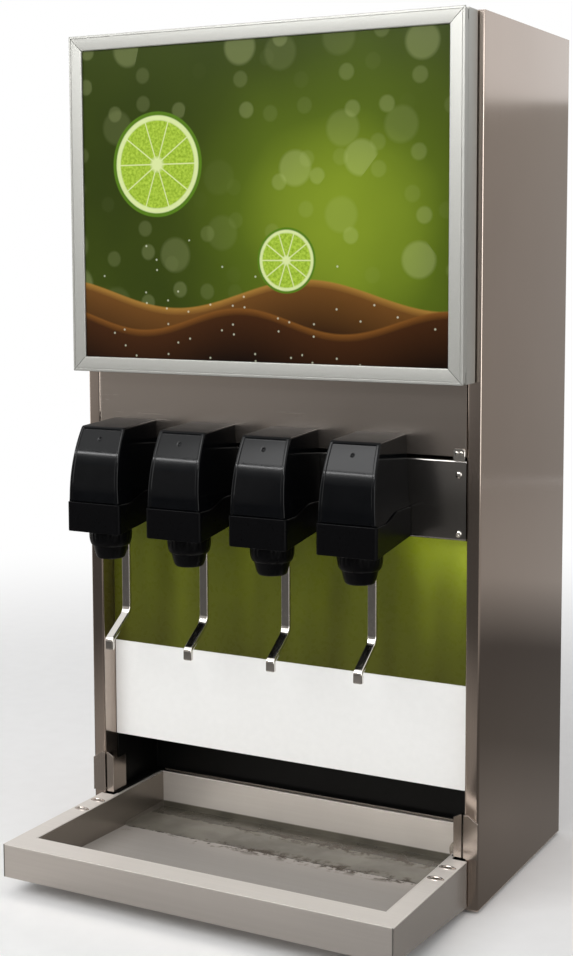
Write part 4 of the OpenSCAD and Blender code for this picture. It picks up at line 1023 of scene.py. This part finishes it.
# %% [markdown]
# ## Valve bodies
# Under each cover sits a body block. Its front corners are well rounded, its top follows the
# S-shaped joint, its underside rises towards the plate, and a round boss carries the nozzle. The
# block is extruded from its side outline and its edges are bevelled in two passes, large at the
# front corners and small elsewhere. Booleans add the boss and open the lever slot, the switch
# pocket and the socket, as a mould's cores do. Modelling those by hand would take many more points.


# %% Cutting and turning
def combined(mesh, other, operation):
    """The mesh after a boolean with another mesh."""
    first, second = (bpy.data.objects.new(m.name, m) for m in (mesh, other))
    for thing in (first, second):
        bpy.context.scene.collection.objects.link(thing)
    step = first.modifiers.new("cut", "BOOLEAN")
    step.object, step.operation, step.solver = second, operation, "EXACT"
    bpy.context.view_layer.update()
    shaped = first.evaluated_get(bpy.context.evaluated_depsgraph_get())
    made = bpy.data.meshes.new_from_object(shaped)
    for thing in (first, second):
        bpy.data.objects.remove(thing)
    return made


def box_mesh(low, high):
    """A plain box, used only as a cutter."""
    corners = ((low[0], low[1]), (high[0], low[1]), (high[0], high[1]), (low[0], high[1]))
    points = [(x, y, z) for z in (low[2], high[2]) for x, y in corners]
    return mesh_of("cutter", points, tube_faces(2, 4))


def turned(name, profile, middle, axis="Z", steps=64, ripple=None):
    """A lathe shape from (radius, height) points; ripple changes a radius by angle and height."""
    points, n = [], len(profile)
    for a in np.linspace(0, 2 * math.pi, steps, endpoint=False):
        for r, h in profile:
            r += ripple(a, r, h) if ripple else 0.0
            c, s = r * math.cos(a), r * math.sin(a)
            place = {"X": (h, c, s), "Y": (c, h, s), "Z": (c, s, h)}[axis]
            points.append([m + p for m, p in zip(middle, place)])
    faces = [(k * n + j, k * n + (j + 1) % n, (k + 1) % steps * n + (j + 1) % n,
              (k + 1) % steps * n + j) for k in range(steps) for j in range(n)]
    return mesh_of(name, points, faces)


print("cutting and turning ready")

# %% Valve bodies
BODY_FRONT, BODY_LOW, BODY_RISE, BODY_HALF = -80.0, 358.0, 11.0, 32.5
BODY_ROUND, BODY_EDGE = 3.6, 0.8
NOZZLE_Y, SEAT_Z, COLLAR_R, SOCKET_R, SOCKET_TOP = -48.0, 357.0, 23.0, 17.56, 367.3
BOSS_HIGH, BOSS_EDGE, CUT_PAST = 14.0, 1.0, (5, 2)
# Half width, front and rear of the two openings from above
SLOT, POCKET, POCKET_LOW = (5.25, -27.0, -12.4), (5.4, -45.5, -24.0), 377.0


def rounded_block():
    """The body's block with its bevels."""
    outline = [(BODY_FRONT, BODY_LOW), (BODY_FRONT, SEAM_FRONT)]
    outline += [(y, seam(y)) for y in np.linspace(*SEAM_Y, SEAM_STEPS)]
    outline += [(0.0, SEAM_REAR), (0.0, BODY_LOW + BODY_RISE)]
    points = [(side * BODY_HALF, y, z) for side in (-1, 1) for y, z in outline]
    block = mesh_of("body", points, tube_faces(2, len(outline)))
    work = bmesh.new()
    work.from_mesh(block)
    front = at(0, BODY_FRONT, 0).y
    upright = [e for e in work.edges if all(abs(v.co.y - front) < SAME_POINT for v in e.verts)
               and abs(e.verts[0].co.z - e.verts[1].co.z) > 20 * MM]
    bmesh.ops.bevel(work, geom=upright, offset=BODY_ROUND * MM, segments=6, affect="EDGES",
                    profile=0.5)
    crisp = [e for e in work.edges if e.calc_face_angle(0) > EDGE_ANGLE]
    bmesh.ops.bevel(work, geom=crisp, offset=BODY_EDGE * MM, segments=3, affect="EDGES",
                    profile=0.5)
    work.to_mesh(block)
    work.free()
    return block


def body_mesh():
    """One body about x = 0."""
    block = rounded_block()
    seat, top, deep = (0, NOZZLE_Y, SEAT_Z), SEAM_REAR + CUT_PAST[1], SOCKET_TOP - SEAT_Z
    boss = turned("boss", [(0.0, 0.0), (COLLAR_R - BOSS_EDGE, 0.0), (COLLAR_R, BOSS_EDGE),
                           (COLLAR_R, BOSS_HIGH), (0.0, BOSS_HIGH)], seat, steps=72)
    block = combined(block, boss, "UNION")
    for cutter in (box_mesh((-SLOT[0], SLOT[1], BODY_LOW - CUT_PAST[0]), (SLOT[0], SLOT[2], top)),
                   box_mesh((-POCKET[0], POCKET[1], POCKET_LOW), (POCKET[0], POCKET[2], top)),
                   turned("socket", [(0.0, -1.0), (SOCKET_R, -1.0), (SOCKET_R, deep), (0.0, deep)],
                          seat)):
        block = combined(block, cutter, "DIFFERENCE")
    return smooth(block, 35)


body = body_mesh()
for piece in one_per_valve("moulded_body", body, SATIN_BLACK, "gloss_black", "cabinet",
                           "valve_body"):
    piece.modifiers.new("flat sides", "WEIGHTED_NORMAL").keep_sharp = True
print("bodies:", len(body.vertices), "points each")

# %% [markdown]
# ## Nozzles
# A nozzle twists off for cleaning, so its collar has grip ribs, and below it a rounded cone leads
# to a blunt lip. It is turned on a lathe in code, with a ripple added to the collar's radius: the
# ribs are then real shapes, where a bump map would leave the outline smooth.

# %% Nozzles
NOZZLE_TOP, SPIGOT_R, SPIGOT_L, OUTLET_R, NOZZLE_WALL = 356.7, 17.5, 10.0, 14.5, 2.5
NOZZLE = [(OUTLET_R - NOZZLE_WALL, -28.4), (OUTLET_R - 2.0, -29.0), (OUTLET_R - 0.9, -28.9),
          (OUTLET_R, -28.2), (OUTLET_R + 0.7, -26.8), (16.4, -23.4), (17.3, -19.4), (18.0, -16.4),
          (18.5, -15.5), (19.6, -15.0), (20.6, -13.9), (21.5, -11.6), (22.0, -9.2), (22.2, -8.0),
          (22.4, -6.5), (22.5, -3.5), (22.6, -1.2), (22.2, -0.3), (21.6, 0.0), (SPIGOT_R, 0.0),
          (SPIGOT_R, SPIGOT_L - 0.6), (SPIGOT_R - 0.6, SPIGOT_L),
          (SPIGOT_R - NOZZLE_WALL, SPIGOT_L), (SPIGOT_R - NOZZLE_WALL, -8.3),
          (OUTLET_R - NOZZLE_WALL, -25.0)]
RIBS, RIB_DEEP, GRIP_Z, GRIP_R = 24, 0.45, (-8.2, -0.5), 21


def grip(a, r, h):
    """Soft ribs on the collar."""
    on_collar = GRIP_Z[0] < h < GRIP_Z[1] and r > GRIP_R
    return -RIB_DEEP * (0.5 + 0.5 * math.cos(RIBS * a)) ** 2 if on_collar else 0.0


for i, x in enumerate(VALVE_X, 1):
    spout = turned(f"spout_{i}", NOZZLE, (x, NOZZLE_Y, NOZZLE_TOP), steps=192, ripple=grip)
    new_piece(f"spout_{i}", spout, SATIN_BLACK, "gloss_black", f"nozzle_{i}", f"nozzle_{i}")
print("nozzles:", len(spout.vertices), "points each")

# %% [markdown]
# ## Push levers
# A cup pushes a lever back to pour. It is a flat stainless bar with rounded edges, bent twice: down
# from its pin, forward on a slope, and down again at the pad. A curve with a bevel would twist at
# the bends, so the bar is one section swept along the bent line in code, drawn in smoothly at the
# pad's end, with the round eye for the pin added at the top.

# %% Push levers
LEVER_Y, LEVER_TIP, LEVER_TOP, KNEE_Z, PAD_Z, LEVER_LOW = -19.0, -52.0, 389.0, 263.0, 240.0, 229.0
LEVER_BENDS, LEVER_HALF, LEVER_EDGE, PIN_Z, EYE_R = (14.0, 5.0), (4.9, 2.5), 1.5, 374.0, 5.0
TIP_R, TIP_TURN, LEAST_EDGE = 1.5, 80, 0.2


def bar_section(inset):
    """A rounded rectangle of (across, through) points, drawn in by an inset."""
    corner = max(LEVER_EDGE - inset, LEAST_EDGE)
    wide, thick = (h - inset - corner for h in LEVER_HALF)
    return [(sx * wide + corner * math.cos(a), sz * thick + corner * math.sin(a))
            for q, (sx, sz) in enumerate(((1, 1), (-1, 1), (-1, -1), (1, -1)))
            for a in np.radians(np.linspace(90 * q, 90 * q + 90, 5))]


def lever_mesh():
    """One lever about x = 0."""
    line = bent_path([(LEVER_Y, LEVER_TOP), (LEVER_Y, KNEE_Z), (LEVER_TIP, PAD_Z),
                      (LEVER_TIP, LEVER_LOW)], LEVER_BENDS, steps=12)
    rings = [(spot, way, 0.0) for spot, way in line[:-1]]
    tip, way = line[-1]
    for a in np.radians(np.linspace(0, TIP_TURN, 6)):
        rings.append((tip - way * TIP_R * (1 - math.sin(a)), way, TIP_R * (1 - math.cos(a))))
    points = [(u, spot[0] - way[1] * v, spot[1] + way[0] * v)
              for spot, way, inset in rings for u, v in bar_section(inset)]
    bar = mesh_of("lever", points, tube_faces(len(rings), len(bar_section(0.0))), 40)
    wide = LEVER_HALF[0]
    eye = turned("eye", [(0.0, -wide), (EYE_R, -wide), (EYE_R, wide), (0.0, wide)],
                 (0, LEVER_Y, PIN_Z), axis="X", steps=32)
    return smooth(combined(bar, eye, "UNION"), 40)


lever = lever_mesh()
for piece in one_per_valve("bent_lever", lever, POLISHED, "polished_stainless", "lever_{}",
                           "lever"):
    piece.modifiers.new("flat faces", "WEIGHTED_NORMAL").keep_sharp = True
print("levers:", len(lever.vertices), "points each")

# %% [markdown]
# ## Screws, clips and rivets
# The plate and the back are held by pan-head screws with a cross recess. One head is turned, its
# recess is cut, and copies are joined into a single piece, which is lighter than a piece for each
# screw. The clips over the corners of the upper panel carry two bright rivet heads each, and the
# tray's side rims have long pressed rivets.

# %% Copies joined into one mesh
ZERO = at(0, 0, 0)


def shift(x, y, z):
    """A move by millimetres."""
    return Matrix.Translation((x * MM, y * MM, z * MM))


def about_zero(place):
    """A move that is worked out about the measuring corner."""
    return Matrix.Translation(ZERO) @ place @ Matrix.Translation(-ZERO)


def joined(name, mesh, places):
    """Copies of a mesh drawn about the measuring corner, moved by matrices, as one mesh."""
    work = bmesh.new()
    for place in places:
        one = mesh.copy()
        one.transform(about_zero(place))
        work.from_mesh(one)
        bpy.data.meshes.remove(one)
    made = bpy.data.meshes.new(name)
    work.to_mesh(made)
    work.free()
    return smooth(made, 35)


print("measuring corner at", [round(c, 4) for c in ZERO], "m")

# %% Screws
PAN = [(0.0, -1.6), (0.9, -1.57), (1.9, -1.42), (2.7, -1.12), (3.25, -0.6), (3.5, 0.0), (1.9, 0.0),
       (1.9, 9.0), (0.0, 9.0)]
CROSS, CROSS_Y = (2.0, 0.4), (-2.0, -0.75)
PLATE_SCREWS = [(side * 205.0, 0.0, z) for side in (-1, 1) for z in (374.8, 432.5)]
BACK_SCREWS = [(side * 220.5, DEEP, z) for side in (-1, 1) for z in (60.0, 436.0, 812.0)]
FACE_BACK = Matrix.Rotation(math.pi, 4, "Z")
head = turned("screw", PAN, (0, 0, 0), axis="Y", steps=32)
for x, z in (CROSS, CROSS[::-1]):
    head = combined(head, box_mesh((-x, CROSS_Y[0], -z), (x, CROSS_Y[1], z)), "DIFFERENCE")
# Each screw stopped at its own turn
turns = [shift(*p) @ Matrix.Rotation(0.4 + 0.9 * k, 4, "Y") for k, p in enumerate(PLATE_SCREWS)]
turns += [shift(*p) @ FACE_BACK @ Matrix.Rotation(0.7 * k, 4, "Y")
          for k, p in enumerate(BACK_SCREWS)]
new_piece("pan_screws", joined("pan_screws", head, turns), POLISHED, "polished_stainless",
          "cabinet", "cabinet_screws")
print("screws:", len(turns))

# %% Corner clips
DOME = [(0.0, -1.0), (0.8, -0.95), (1.45, -0.7), (1.85, -0.35), (2.0, 0.0), (2.0, 0.4), (0.0, 0.4)]
CLIP = [(0.8, 0.0), (11.2, 0.0), (12.0, 0.8), (12.0, 10.4), (10.4, 12.0), (1.6, 12.0), (0.0, 10.4),
        (0.0, 0.8)]
CLIP_MID, CLIP_FACE, CLIP_FRONT, CLIP_EDGE_Y = 6, 0.95, -1.5, -1.2
HEAD_X, HEAD_Z, CLIP_X, CLIP_LOW = (3.6, 8.4), 8.0, (PANEL_HALF - 13.0, -PANEL_HALF + 1.0), 446.0
points = [(CLIP_MID + (x - CLIP_MID) * CLIP_FACE, CLIP_FRONT, CLIP_MID + (z - CLIP_MID) * CLIP_FACE)
          for x, z in CLIP]
points += [(x, y, z) for y in (CLIP_EDGE_Y, 0.0) for x, z in CLIP]
clip = mesh_of("clip", points, tube_faces(3, len(CLIP)))
dome = turned("dome", DOME, (0, 0, 0), axis="Y", steps=24)
heads = joined("clip_heads", dome, [shift(x, CLIP_FRONT, HEAD_Z) for x in HEAD_X])
whole = bmesh.new()
for part in (clip, heads):
    whole.from_mesh(part)
whole.to_mesh(clip)
whole.free()
clips = joined("corner_clips", clip, [shift(x, 0, CLIP_LOW) for x in CLIP_X])
new_piece("corner_clips", clips, POLISHED, "polished_stainless", "cabinet", "panel_clips")
print("clips:", len(CLIP_X), "with", len(HEAD_X), "heads each")

# %% Pressed rivets
RIVET = [(0.0, 0.05), (2.0, 0.1), (2.3, 0.8), (2.7, 1.0), (3.1, 0.85), (3.5, 0.35), (3.7, 0.0),
         (3.7, -0.3), (0.0, -0.3)]
RIM_Z, RIVET_X, RIVET_Y, RIVET_STRETCH = 50.0, 206.3, (-25.0, -55.0), (2.4, 1.25, 1.0, 1.0)
rivet = turned("pressed", RIVET, (0, 0, 0), steps=48)
rivet.transform(about_zero(Matrix.Diagonal(RIVET_STRETCH)))
places = [shift(side * RIVET_X, y, RIM_Z) for side in (-1, 1) for y in RIVET_Y]
new_piece("pressed_rivets", joined("pressed_rivets", rivet, places), BRACKET_STEEL,
          "polished_stainless", "tray", "tray_rivets")
print("rivets:", len(places))

# %% [markdown]
# ## Hem of the tray
# A hem folded upwards stiffens the tray's rear edge, which takes the knocks when the tray goes back
# in. It is a narrow strip, so its section is simply pulled along the edge.

# %% Folded hem
HEM_HALF = 195.5
HEM = [(95.0, -0.3), (95.0, 2.3), (95.3, 2.6), (95.6, 2.6), (95.9, 2.3), (95.9, -0.3)]
points = [(x, y, RIM_Z + z) for x in (-HEM_HALF, HEM_HALF) for y, z in HEM]
new_piece("folded_hem", mesh_of("hem", points, tube_faces(2, len(HEM))), TRAY_STEEL,
          "tray_stainless", "tray")
print("hem:", 2 * HEM_HALF, "mm long")

# %% [markdown]
# ## Studio
# The machine stands on a pale floor in soft light from all round, with one broad lamp above the
# camera. Steel shows whatever stands round it, so grey flats that only reflections see take the
# place of a room: they darken the lower part of the steel and leave the upper part bright. A
# photographed surround could do that too, but the flats can be toned one by one.


# %% Floor
def stage_mesh(name, points, faces, material):
    """A piece of the studio, in metres."""
    made = bpy.data.meshes.new(name)
    made.from_pydata(points, [], faces)
    thing = bpy.data.objects.new(name, made)
    bpy.context.scene.collection.objects.link(thing)
    made.materials.append(material)
    thing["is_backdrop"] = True
    return thing


# The paper fades into the white backdrop with distance, so no horizon shows. Its fibres are too
# fine to show here, so their mottle is drawn 25 mm wide.
FLOOR, FADE, MOTTLE_SIZE = 12.0, (0.75, 1.9), 25
PAPER, paper_tree, paper_shader = finish("Paper floor, matt white", Roughness=0.9)
spot = node(paper_tree, "TexCoord").outputs["Object"]
fibre = node(paper_tree, "TexNoise", {"Vector": spot, "Scale": METRE / MOTTLE_SIZE,
                                      "Detail": 3.0})
tone = node(paper_tree, "ValToRGB", {"Fac": fibre}, stops=[(0.3, "#FAFAFA"), (0.7, "#FDFDFD")])
feed(paper_tree, paper_shader, {"Base Color": tone})
far = node(paper_tree, "VectorMath", {0: spot}, operation="LENGTH")
fade = node(paper_tree, "MapRange", {"Value": far, "From": FADE}, interpolation_type="SMOOTHSTEP")
seen = node(paper_tree, "LightPath").outputs["Is Camera Ray"]
fade = node(paper_tree, "Math", {0: fade, 1: seen}, operation="MULTIPLY")
glow = node(paper_tree, "Emission", {"Color": "#FFFFFF", "Strength": 1.0})
both = node(paper_tree, "MixShader", {0: fade, 1: paper_shader, 2: glow})
feed(paper_tree, paper_tree.nodes["Material Output"], {"Surface": both})
stage_mesh("floor", [(x * FLOOR, y * FLOOR, 0) for x, y in ((-1, -1), (1, -1), (1, 1), (-1, 1))],
           [(0, 1, 2, 3)], PAPER)
print("floor:", 2 * FLOOR, "m wide")


# %% Finish of a flat
def flat_finish(name, middle, reach, stops, strength=1.0):
    """Paper that gives off an even light, toned by the distance from a point, in metres.

    Without a point it is toned by its height.
    """
    made = bpy.data.materials.new(name)
    made.use_nodes = True
    tree = made.node_tree
    tree.nodes.clear()
    spot = node(tree, "TexCoord").outputs["Object"]
    keep = (0, 0, 1) if middle is None else (1, 1, 0)
    part = node(tree, "VectorMath", {0: spot, 1: keep}, operation="MULTIPLY")
    far = node(tree, "VectorMath", {0: part, 1: middle or (0, 0, 0)}, operation="DISTANCE")
    share = node(tree, "MapRange", {"Value": far, "From": (0.0, reach)})
    tone = node(tree, "ValToRGB", {"Fac": share}, stops=stops)
    glow = node(tree, "Emission", {"Color": tone, "Strength": strength})
    node(tree, "OutputMaterial", {"Surface": glow})
    return made


print("flats: toned by height or by distance")

# %% Flats and windows round the machine
ROOM_R, GLOW_R, OFF_FLOOR, WALL_STEPS = 3.0, 3.1, 0.01, 24
PALE = [(0.0, "#D0D0CE"), (1.0, "#FFFFFF")]


def flat_wall(name, start, end, height, stops, strength=1.0, radius=ROOM_R):
    """A curved flat from one bearing to another, in degrees from +X, toned by its height."""
    bearings = np.radians(np.linspace(start, end, WALL_STEPS + 1))
    points = [(radius * math.cos(b), radius * math.sin(b), z)
              for b in bearings for z in (OFF_FLOOR, height)]
    faces = [(2 * k, 2 * k + 2, 2 * k + 3, 2 * k + 1) for k in range(WALL_STEPS)]
    return stage_mesh(name, points, faces, flat_finish(name, None, height, stops, strength))


walls = [
    flat_wall("flat_behind", -20, 165, 1.06, [
        (0.0, "#A09C98"), (0.5, "#A8A4A0"), (1.0, "#ACA8A3")]),
    flat_wall("window_left", 165, 198, 1.25, PALE, 3.0),
    flat_wall("flat_left", 198, 243, 1.15, [
        (0.0, "#7E7B78"), (0.2, "#A6A3A0"), (1.0, "#B2AEAA")]),
    flat_wall("flat_ahead", 243, 308, 1.15, [
        (0.0, "#605E5C"), (0.2, "#7B7977"), (1.0, "#848280")]),
    flat_wall("window_right", 308, 340, 1.25, PALE, 4.0),
    flat_wall("glow_ahead", 222, 262, 1.75, [
        (0.62, "#404040"), (0.85, "#808080"), (1.0, "#F0F0F0")], 4.0, GLOW_R),
]
print("walls:", [wall.name for wall in walls])

# %% Flats on the floor
FLOOR_STEPS = 48


def floor_flat(name, start, end, near, height, middle, stops):
    """A flat on the floor between two bearings, toned by the distance from a point."""
    bearings = np.radians(np.linspace(start, end, FLOOR_STEPS + 1))
    points = [(r * math.cos(b), r * math.sin(b), height) for b in bearings for r in (near, ROOM_R)]
    faces = [(2 * k, 2 * k + 1, 2 * k + 3, 2 * k + 2) for k in range(FLOOR_STEPS)]
    return stage_mesh(name, points, faces, flat_finish(name, middle, ROOM_R, stops))


walls += [
    floor_flat("floor_round", 0, 360, 0.001, 0.004, (0.33, 0.2, 0.0), [
        (0.0, "#868380"), (0.1, "#666360"), (0.27, "#5A5755"), (0.45, "#B0ACA8"),
        (1.0, "#A5A19D")]),
    floor_flat("floor_ahead", 200, 285, 0.3, 0.006, (0.0, 0.0, 0.0), [
        (0.0, "#A09C98"), (0.2, "#A09C98"), (0.36, "#5A5856"), (1.0, "#4E4C4A")]),
]
print("floor flats:", [wall.name for wall in walls[-2:]])

# %% Face of the softbox
SOFTBOX, SUBJECT, SOFT_SIZE = Vector((-0.65, -1.75, 1.84)), Vector((0.0, -0.1, 0.45)), (2.2, 1.0)
along = (SUBJECT - SOFTBOX).cross(Vector((0, 0, 1))).normalized() * SOFT_SIZE[0] / 2
rise = along.cross(SUBJECT - SOFTBOX).normalized() * SOFT_SIZE[1] / 2
corners = [SOFTBOX + along * a + rise * b for a, b in ((-1, -1), (1, -1), (1, 1), (-1, 1))]
bright_end = SOFTBOX + along
walls.append(stage_mesh("softbox_face", corners, [(0, 1, 2, 3)], flat_finish(
    "softbox_face", (bright_end.x, bright_end.y, 0.0), SOFT_SIZE[0], [
        (0.0, "#FFFFFF"), (0.62, "#FFFFFF"), (0.69, "#EAEAEA"), (0.75, "#BEBEBE"),
        (0.82, "#979797"), (1.0, "#8C8C8C")], 8.0)))
for wall in walls:
    wall.visible_camera = wall.visible_diffuse = wall.visible_shadow = False
    wall.visible_transmission = wall.visible_volume_scatter = False
print("studio:", len(walls), "flats that only reflections see")

# %% World
ROOM_LIGHT, BACKDROP = 0.62, 1.0
world = bpy.data.worlds.new("soft white room")
bpy.context.scene.world = world
world.use_nodes = True
sky = world.node_tree
sky.nodes.clear()
ray = node(sky, "LightPath").outputs
seen = node(sky, "Math", {0: ray["Is Camera Ray"], 1: ray["Is Glossy Ray"]}, operation="MAXIMUM")
seen = node(sky, "Math", {0: seen, 1: ray["Is Transmission Ray"]}, operation="MAXIMUM")
level = node(sky, "MapRange", {"Value": seen, "To": (ROOM_LIGHT, BACKDROP)})
white = node(sky, "Background", {"Color": "#FFFFFF", "Strength": level})
node(sky, "OutputWorld", {"Surface": white})
print("world:", ROOM_LIGHT, "as light,", BACKDROP, "where it is seen")


# %% Lamps
def soft_lamp(name, place, target, size, power, mirrored=True):
    """A broad lamp that faces a point, and may stay out of reflections."""
    made = bpy.data.lights.new(name, "AREA")
    made.shape, made.size, made.size_y, made.energy = "RECTANGLE", size[0], size[1], power
    lamp = bpy.data.objects.new(name, made)
    bpy.context.scene.collection.objects.link(lamp)
    lamp.location = place
    lamp.rotation_euler = (Vector(target) - Vector(place)).to_track_quat("-Z", "Y").to_euler()
    lamp.visible_glossy = mirrored


soft_lamp("softbox", SOFTBOX, SUBJECT, SOFT_SIZE, 22.0, mirrored=False)
soft_lamp("strip", (-0.65, -1.95, 1.31), SUBJECT, (2.0, 0.04), 6.0)
soft_lamp("fill", (2.4, -0.6, 1.9), (0.2, 0.0, 0.5), (1.2, 1.2), 2.2)

# %% [markdown]
# ## Camera
# The photograph was taken from the right, a little above the middle, with a moderate lens. Yaw,
# pitch and place come from the machine's own straight edges, and the small lens shift puts the
# picture's centre where the photograph's framing has it.

# %% Camera
YAW, PITCH, ROLL = math.radians(28.08), math.radians(5.44), math.radians(-0.17)
SENSOR, LENS, LENS_SHIFT, STAND = 36.0, 59.53, (-0.0048, -0.0786), (0.774, -1.4478, 0.650)
view = bpy.data.cameras.new("camera")
view.sensor_width, view.lens = SENSOR, LENS
view.shift_x, view.shift_y = LENS_SHIFT
camera = bpy.data.objects.new("camera", view)
bpy.context.scene.collection.objects.link(camera)
camera.location = STAND
forward = Vector((-math.sin(YAW) * math.cos(PITCH), math.cos(YAW) * math.cos(PITCH),
                  -math.sin(PITCH)))
camera.rotation_euler = (forward.to_track_quat("-Z", "Y").to_matrix()
                         @ Matrix.Rotation(ROLL, 3, "Z")).to_euler()
bpy.context.scene.camera = camera
bpy.context.scene.view_settings.view_transform = "Standard"
print("camera at", [round(c, 3) for c in camera.location])

# %% Size of the dressed machine
low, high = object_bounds()
print("dressed size in mm:", [round(side / MM) for side in high - low])
